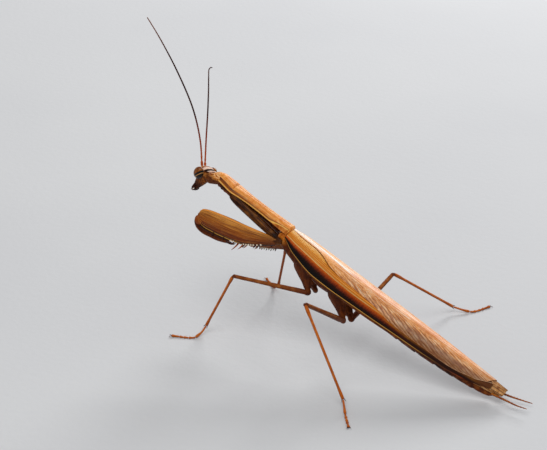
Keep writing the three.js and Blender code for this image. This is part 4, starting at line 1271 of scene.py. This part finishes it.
def make_cerci():
    """Two beaded, hairy horns at the tail."""
    thick = [[0, 0.2], [0.2, 0.17], [0.6, 0.13], [1, 0.06]]
    beads = lambda t, a: 0.012 * np.cos(t * 2 * np.pi * 12)
    for side in SIDES:
        horn = tube(CERCI[side], rounded(thick, 0.04, 0.04), steps=150, relief=beads, crowd=0.2)
        curve = route(CERCI[side])
        t = chance.uniform(0.03, 0.99, 50)
        ahead = unit(curve(np.minimum(t + 0.01, 1)) - curve(t - 0.01))
        hairs = hairs_round(curve(t), ahead, (0, 0, 1), along(thick)(t)[:, None] * 0.9, 1.2, 0.2, 0.012)
        build(f"cercus_{side}", [horn, *hairs], [LEG])


# ---------- Walking legs ----------


def toe_joints(curve, cuts, flare, steps, sides):
    """Tarsus joints between the cuts of a curve, each wider at its far end."""
    skins = []
    for low, high in zip(cuts, cuts[1:]):
        piece = curve(np.array([low + 0.004, (low + high) / 2, high]))
        skins.append(tube(piece, rounded(flare, 0.12, 0.12), steps=steps, sides=sides))
    return skins


def foot(points, ankle):
    """Five tarsus joints, then two hooked claws, all kept above the floor."""
    knots = [ankle] + [np.array([x, y, FOOT_HEIGHT]) for x, y in points]
    curve = route(knots)
    flare = [[0, 0.15], [0.5, 0.16], [0.85, 0.23], [1, 0.2]]
    skins = toe_joints(curve, (0, 0.42, 0.58, 0.7, 0.8, 1.0), flare, 26, 14)
    tip = curve(1.0)
    ahead = unit(tip - curve(0.96))
    side = unit(np.cross(ahead, (0, 0, 1)))
    for sign in (-1, 1):
        end = tip + ahead * 0.45 + side * sign * 0.3 - (0, 0, 0.14)
        bend = side * sign * 0.08 + (0, 0, 0.1)
        skins.append(spine(tip + side * sign * 0.06, end, 0.05, bend=bend, look=1))
    skins += hairs_on(knots[0], knots[1], 0.16, 30, 0.14)
    skins += hairs_on(knots[1], knots[-1], 0.16, 30, 0.14)
    for piece in skins:
        piece["grid"][..., 2] = np.maximum(piece["grid"][..., 2], 0.0)
    return skins


def walking_coxa(name, hip, trochanter, knee):
    """A flattened hip joint, broader on the near side, and the cuff below it."""
    breadth = 1.65 if name.endswith("left") else 1.15
    thick = rounded([[0, breadth * 0.9], [0.2, breadth], [0.45, breadth * 0.78], [0.75, 0.72], [1, 0.46]],
                    0.14, 0.1)
    end = toward(trochanter, hip, 0.3)
    coxa = tube(straight(toward(hip, end, -0.9), end), thick, steps=70, sides=48, flatten=0.42,
                across=turned(in_trunk, (1, 0, 0)), relief=ridges(9, 0.07))
    cuff = tube([toward(trochanter, hip, 0.9), trochanter, toward(trochanter, knee, 0.9)],
                rounded([[0, 0.36], [0.5, 0.42], [1, 0.34]], 0.1, 0.1), sides=32)
    return [coxa, cuff]


def walking_femur(trochanter, knee, ankle):
    """A ribbed thigh with two lobes at the knee."""
    thick = rounded([[0, 0.38], [0.08, 0.41], [0.3, 0.37], [0.8, 0.29], [0.95, 0.3], [1, 0.3]], 0.02, 0.03)
    skins = [tube(straight(trochanter, knee), thick, steps=90, sides=32, relief=ridges(6, 0.045))]
    lobe_radius = rounded([[0, 0.2], [0.6, 0.23], [1, 0.18]], 0.3, 0.3)
    for sign in (-1, 1):
        side = unit(np.cross(knee - trochanter, ankle - knee)) * sign
        lobe = [toward(knee, trochanter, 0.8) + side * 0.1, toward(knee, trochanter, 0.1) + side * 0.14,
                toward(knee, ankle, 0.3) + side * 0.12]
        skins.append(tube(lobe, lobe_radius, steps=24))
    return skins + hairs_on(trochanter, knee, 0.36, 40, 0.15)


def walking_tibia(knee, ankle, toe):
    """A thin shin with two spurs at the ankle."""
    start = toward(knee, ankle, 0.1)
    thick = rounded([[0, 0.26], [0.06, 0.28], [0.15, 0.2], [0.85, 0.19], [0.96, 0.25], [1, 0.24]],
                    0.02, 0.02)
    skins = [tube(straight(start, ankle), thick, steps=90, sides=24, relief=ridges(5, 0.03))]
    along_foot = unit(np.array([*toe, FOOT_HEIGHT]) - ankle)
    side = unit(np.cross(ankle - knee, along_foot))
    for sign in (-1, 1):
        base = toward(ankle, knee, 0.12) + side * sign * 0.16
        tip = base + unit(ankle - knee) * 0.45 + side * sign * 0.2 + along_foot * 0.1
        skins.append(spine(base, tip, 0.07, look=1))
    return skins + hairs_on(start, ankle, 0.2, 70, 0.17)


def make_walking_leg(name, hip, joints):
    trochanter, knee, ankle, *toes = [np.array(p, float) for p in joints]
    build(f"{name}_coxa", walking_coxa(name, np.array(hip, float), trochanter, knee), [COXA])
    build(f"{name}_femur", walking_femur(trochanter, knee, ankle), [THIGH])
    build(f"{name}_tibia", walking_tibia(knee, ankle, toes[0]), [SHIN, THORN])
    build(f"{name}_tarsus", foot(toes, ankle), [SHIN, THORN])


# ---------- Grasping legs ----------

# the femur's outline, from the knee at 0 to the hip
femur_upper = along([
    [0.1, 0.7], [0.4, 1.15], [0.9, 1.55], [2, 1.66], [4, 1.53], [6, 1.34], [8, 1.04], [10, 0.8],
    [12.6, 0.52], [14, 0.3]])
femur_lower = along([
    [0.1, 0.3], [0.5, -0.4], [0.8, -1], [1.9, -1.55], [2.8, -1.74], [4, -1.98], [5.2, -2.14], [6.6, -2.28],
    [8, -2.3], [10, -1.95], [12, -1.35], [14, -0.75]])
femur_girth = along([[0.1, 0.3], [1.2, 0.52], [4, 0.62], [9, 0.62], [12.4, 0.5], [14, 0.42]])


def leg_frame(side, splay, elbow, knee):
    """The grasping leg's own frame: X from knee to hip, Y across the leg, Z to its upper edge."""
    sign = SIDES[side]
    back = unit(elbow - knee)
    across = np.array([0.1, 1, np.radians(BODY_LEAN)])
    across = unit(across - across.dot(back) * back)
    turn = sign * np.radians(splay)
    up = np.cross(back, across)
    across, up = across * np.cos(turn) + up * np.sin(turn), up * np.cos(turn) - across * np.sin(turn)
    axes = np.stack([back, across * -sign, up])
    return lambda points: np.asarray(points, float) @ axes + knee


def femur_body(place, scale):
    """The femur without its spines: ribbed faces, and a groove under it that takes the shin."""
    low, high = FEMUR_ENDS
    d = spaced(150, 0.4)[:, None] * (high - low) + low
    angle = circle(72)
    top, bottom, girth = femur_upper(d), femur_lower(d), femur_girth(d)
    close = np.sqrt(np.clip(np.minimum(d - low, high - d) / 0.35 + 0.114, 0.02, 1))
    c, s = squared(np.cos(angle), 0.85), squared(np.sin(angle), 0.95)
    level = s * close
    z = (top + bottom) / 2 + (top - bottom) / 2 * level
    ribs = 0.03 * np.cos(level * 2 * np.pi * 3.2) * smooth(np.abs(c), 0.2, 0.6)
    y = girth * (1 - 0.28 * np.clip(s, 0, 1) ** 2) * close * c
    y = y + np.sign(c) * (ribs + 0.05 * bump_at(level, -0.72, 0.1))
    groove = bump_at(y, 0, 0.22) * smooth(-s, 0.8, 1.0) * smooth(d, 0.5, 1.5) * smooth(d, 11, 8)
    grid = np.stack([d * scale + 0 * y, y, z + 0.12 * groove], -1)
    return skin(place(grid), d[:, 0], level)


def grasping_femur(place, scale):
    skins = [femur_body(place, scale)]

    def underside(distance, y, lift):
        return np.array([distance * scale, y, float(femur_lower(distance)) + lift])

    def tooth(base, lean, radius, bow, look):
        tip = base + np.array(lean)
        return spine(place(base), place(tip), radius, bend=turned(place, (bow, 0, 0)), look=look)

    # five short teeth along the outer edge, and a comb of longer and shorter ones along the inner edge
    rows = [(-1, distance, 0.75, 0.13) for distance in np.linspace(3.4, 10.6, 5)]
    comb = np.linspace(2.6, 11.8, 20)
    rows += [(1, distance, 0.6 if k % 2 else 0.45, 0.11) for k, distance in enumerate(comb)]
    for sign, distance, reach, radius in rows:
        lean = (-0.25 * reach, sign * 0.5 * reach, -0.7 * reach)
        skins.append(tooth(underside(distance, sign * 0.3, 0.2), lean, radius, 0.05, 1))
    # white beads on both edges, and three long red spines on the midline
    for distance in (6.5, 6.95, 8.7, 9.1, 9.5, 9.9, 10.3, 10.9, 11.5):
        for y in (-0.4, 0.4):
            bead = underside(distance, y, 0.22)
            skins.append(dome(bead, (0.15, 0.13, 0.13), place, look=2, rows=10, cols=14))
    for distance, reach in ((7.8, 2.0), (8.6, 1.5), (9.2, 1.1)):
        lean = (-0.55 * reach, 0, -0.85 * reach)
        skins.append(tooth(underside(distance, 0, 0.3), lean, 0.15, 0.1, 3))
    # the two lobes of the knee
    for y in (-0.3, 0.3):
        lobe = ball(40, 56)[0] * (0.74, 0.24, 0.8) + (0.55, y, -0.3)
        x, z = lobe[..., 0].copy(), lobe[..., 2]
        top, bottom = femur_upper(x), femur_lower(x)
        share = (z - (top + bottom) / 2) / ((top - bottom) / 2)
        lobe[..., 0] *= scale
        skins.append(skin(place(lobe), x, np.clip(share * 0.45 + 0.1, -0.28, 0.5)))
    return skins


def grasping_tibia(place):
    """The shin, folded under the femur: a shaft, its end claw and two rows of teeth."""
    knots = place([(0.2, 0, -0.15), (0.2, 0, -0.75), (0.6, 0, -1.38), (1.6, 0, -1.9), (2.8, 0, -2.12),
                   (4.1, 0, -2.34), (6.1, 0, -2.45)])
    thick = rounded([[0, 0.44], [0.12, 0.46], [0.4, 0.5], [0.7, 0.48], [0.9, 0.38], [1, 0.3]], 0.04, 0.05)
    skins = [tube(knots, thick, steps=90, sides=32, flatten=0.8, across=turned(place, (0, 0, 1)),
                  relief=ridges(6, 0.03))]
    claw = place([(5.7, 0, -2.45), (6.5, 0, -2.6), (7.0, 0, -2.55), (7.3, 0, -2.3)])
    skins.append(tube(claw, along([[0, 0.3], [0.5, 0.2], [1, 0.02]]), steps=30, sides=16, look=1))
    line = route(knots)
    for sign, count in ((-1, 9), (1, 13)):
        for t in np.linspace(0.36, 0.97, count):
            base = line(t) + turned(place, (0, sign * 0.2, 0.25))
            tip = base + turned(place, (0.45, sign * 0.22, 0.55)) * (0.3 + 0.3 * t)
            skins.append(spine(base, tip, 0.06, look=1, steps=5, sides=6))
    return skins


def grasping_tarsus(place):
    knots = place([(6.2, 0.5, -2.35), (7.5, 1.05, -1.5), (9.4, 1.0, -0.6), (11.2, 0.88, -0.2)])
    curve = route(knots)
    flare = [[0, 0.1], [0.6, 0.12], [0.9, 0.18], [1, 0.15]]
    skins = toe_joints(curve, (0, 0.4, 0.56, 0.7, 0.82, 1.0), flare, 20, 12)
    tip = curve(1.0)
    for y in (-0.2, 0.2):
        skins.append(spine(tip, tip + turned(place, (0.4, y, -0.05)), 0.045, look=1))
    return skins


def grasping_coxa(place, scale, hip, elbow):
    """The long upper limb with a row of small thorns, and the bend that joins it to the femur."""
    thick = rounded([[0, 0.5], [0.2, 0.62], [0.6, 0.6], [1, 0.46]], 0.06, 0.05)
    end = toward(elbow, hip, 0.6)
    skins = [tube([toward(hip, elbow, -0.35), (hip + end) / 2, end], thick, steps=110, sides=48,
                  flatten=0.9, relief=ridges(7, 0.075))]
    front = unit(np.cross(elbow - hip, (0.1, 1, 0)))
    down = -front * np.sign(front[2])
    for k, t in enumerate(np.linspace(0.12, 0.85, 9)):
        base = hip + (end - hip) * t + down * 0.52
        skins.append(spine(base, base + down * (0.34 if k % 2 else 0.2), 0.06, look=1, steps=5))
    bend = [toward(elbow, hip, 1.2), elbow, place((12.6 * scale, 0, -0.25))]
    skins.append(tube(bend, rounded([[0, 0.4], [0.5, 0.45], [0.8, 0.44], [1, 0.3]], 0.3, 0.15),
                      steps=60, sides=40, flatten=0.9))
    return skins


def make_grasping_leg(side, splay, joints):
    hip, elbow, knee = [np.array(p, float) for p in joints]
    place = leg_frame(side, splay, elbow, knee)
    scale = np.linalg.norm(elbow - knee) / KNEE_TO_ELBOW
    build(f"fore_{side}_coxa", grasping_coxa(place, scale, hip, elbow), [FORE_COXA, THORN])
    build(f"fore_{side}_femur", grasping_femur(place, scale), [FEMUR, THORN, THORN_PALE, THORN_RED])
    build(f"fore_{side}_tibia", grasping_tibia(place), [TIBIA, THORN])
    build(f"fore_{side}_tarsus", grasping_tarsus(place), [LEG, THORN])


# ---------- Stage ----------


def add_to_scene(name, data, at=(0, 0, 0), target=None):
    """A new object. With a target, it looks there along its -Z axis."""
    thing = bpy.data.objects.new(name, data)
    thing.location = at
    if target:
        thing.rotation_euler = (Vector(target) - thing.location).to_track_quat("-Z", "Y").to_euler()
    bpy.context.scene.collection.objects.link(thing)
    return thing


def make_stage():
    mesh = bpy.data.meshes.new("floor")
    corners = [(x * FLOOR_REACH, y * FLOOR_REACH, 0) for x, y in ((-1, -1), (1, -1), (1, 1), (-1, 1))]
    mesh.from_pydata(corners, [], [(0, 1, 2, 3)])
    mesh.uv_layers.new(name="UVMap")
    mesh.materials.append(floor_material())
    floor = add_to_scene("floor", mesh)

    world = bpy.data.worlds.new("studio")
    world.use_nodes = True
    for name, value in SKY.items():
        world.node_tree.nodes["Background"].inputs[name].default_value = value
    for name, (at, size, power) in LAMPS.items():
        lamp = bpy.data.lights.new(name, "AREA")
        lamp.size, lamp.energy = size, power
        add_to_scene(name, lamp, at, LAMP_TARGET)

    view = bpy.data.cameras.new("camera")
    view.lens, view.sensor_width, view.clip_start = CAMERA_LENS, CAMERA_SENSOR, CAMERA_NEAR
    at, target = in_metres([CAMERA_AT, CAMERA_TARGET]).tolist()
    scene = bpy.context.scene
    scene.world = world
    scene.camera = add_to_scene("camera", view, at, target)
    scene.view_settings.view_transform = "Standard"


# ---------- The animal ----------

make_stage()
make_head()
make_mouthparts()
make_antennae()
make_neck()
make_pronotum()
make_prosternum()
make_thorax()
make_abdomen()
make_wings()
make_hindwings()
make_cerci()
for leg_name, leg in WALKING_LEGS.items():
    make_walking_leg(leg_name, **leg)
for leg_side, leg in GRASPING_LEGS.items():
    make_grasping_leg(leg_side, **leg)
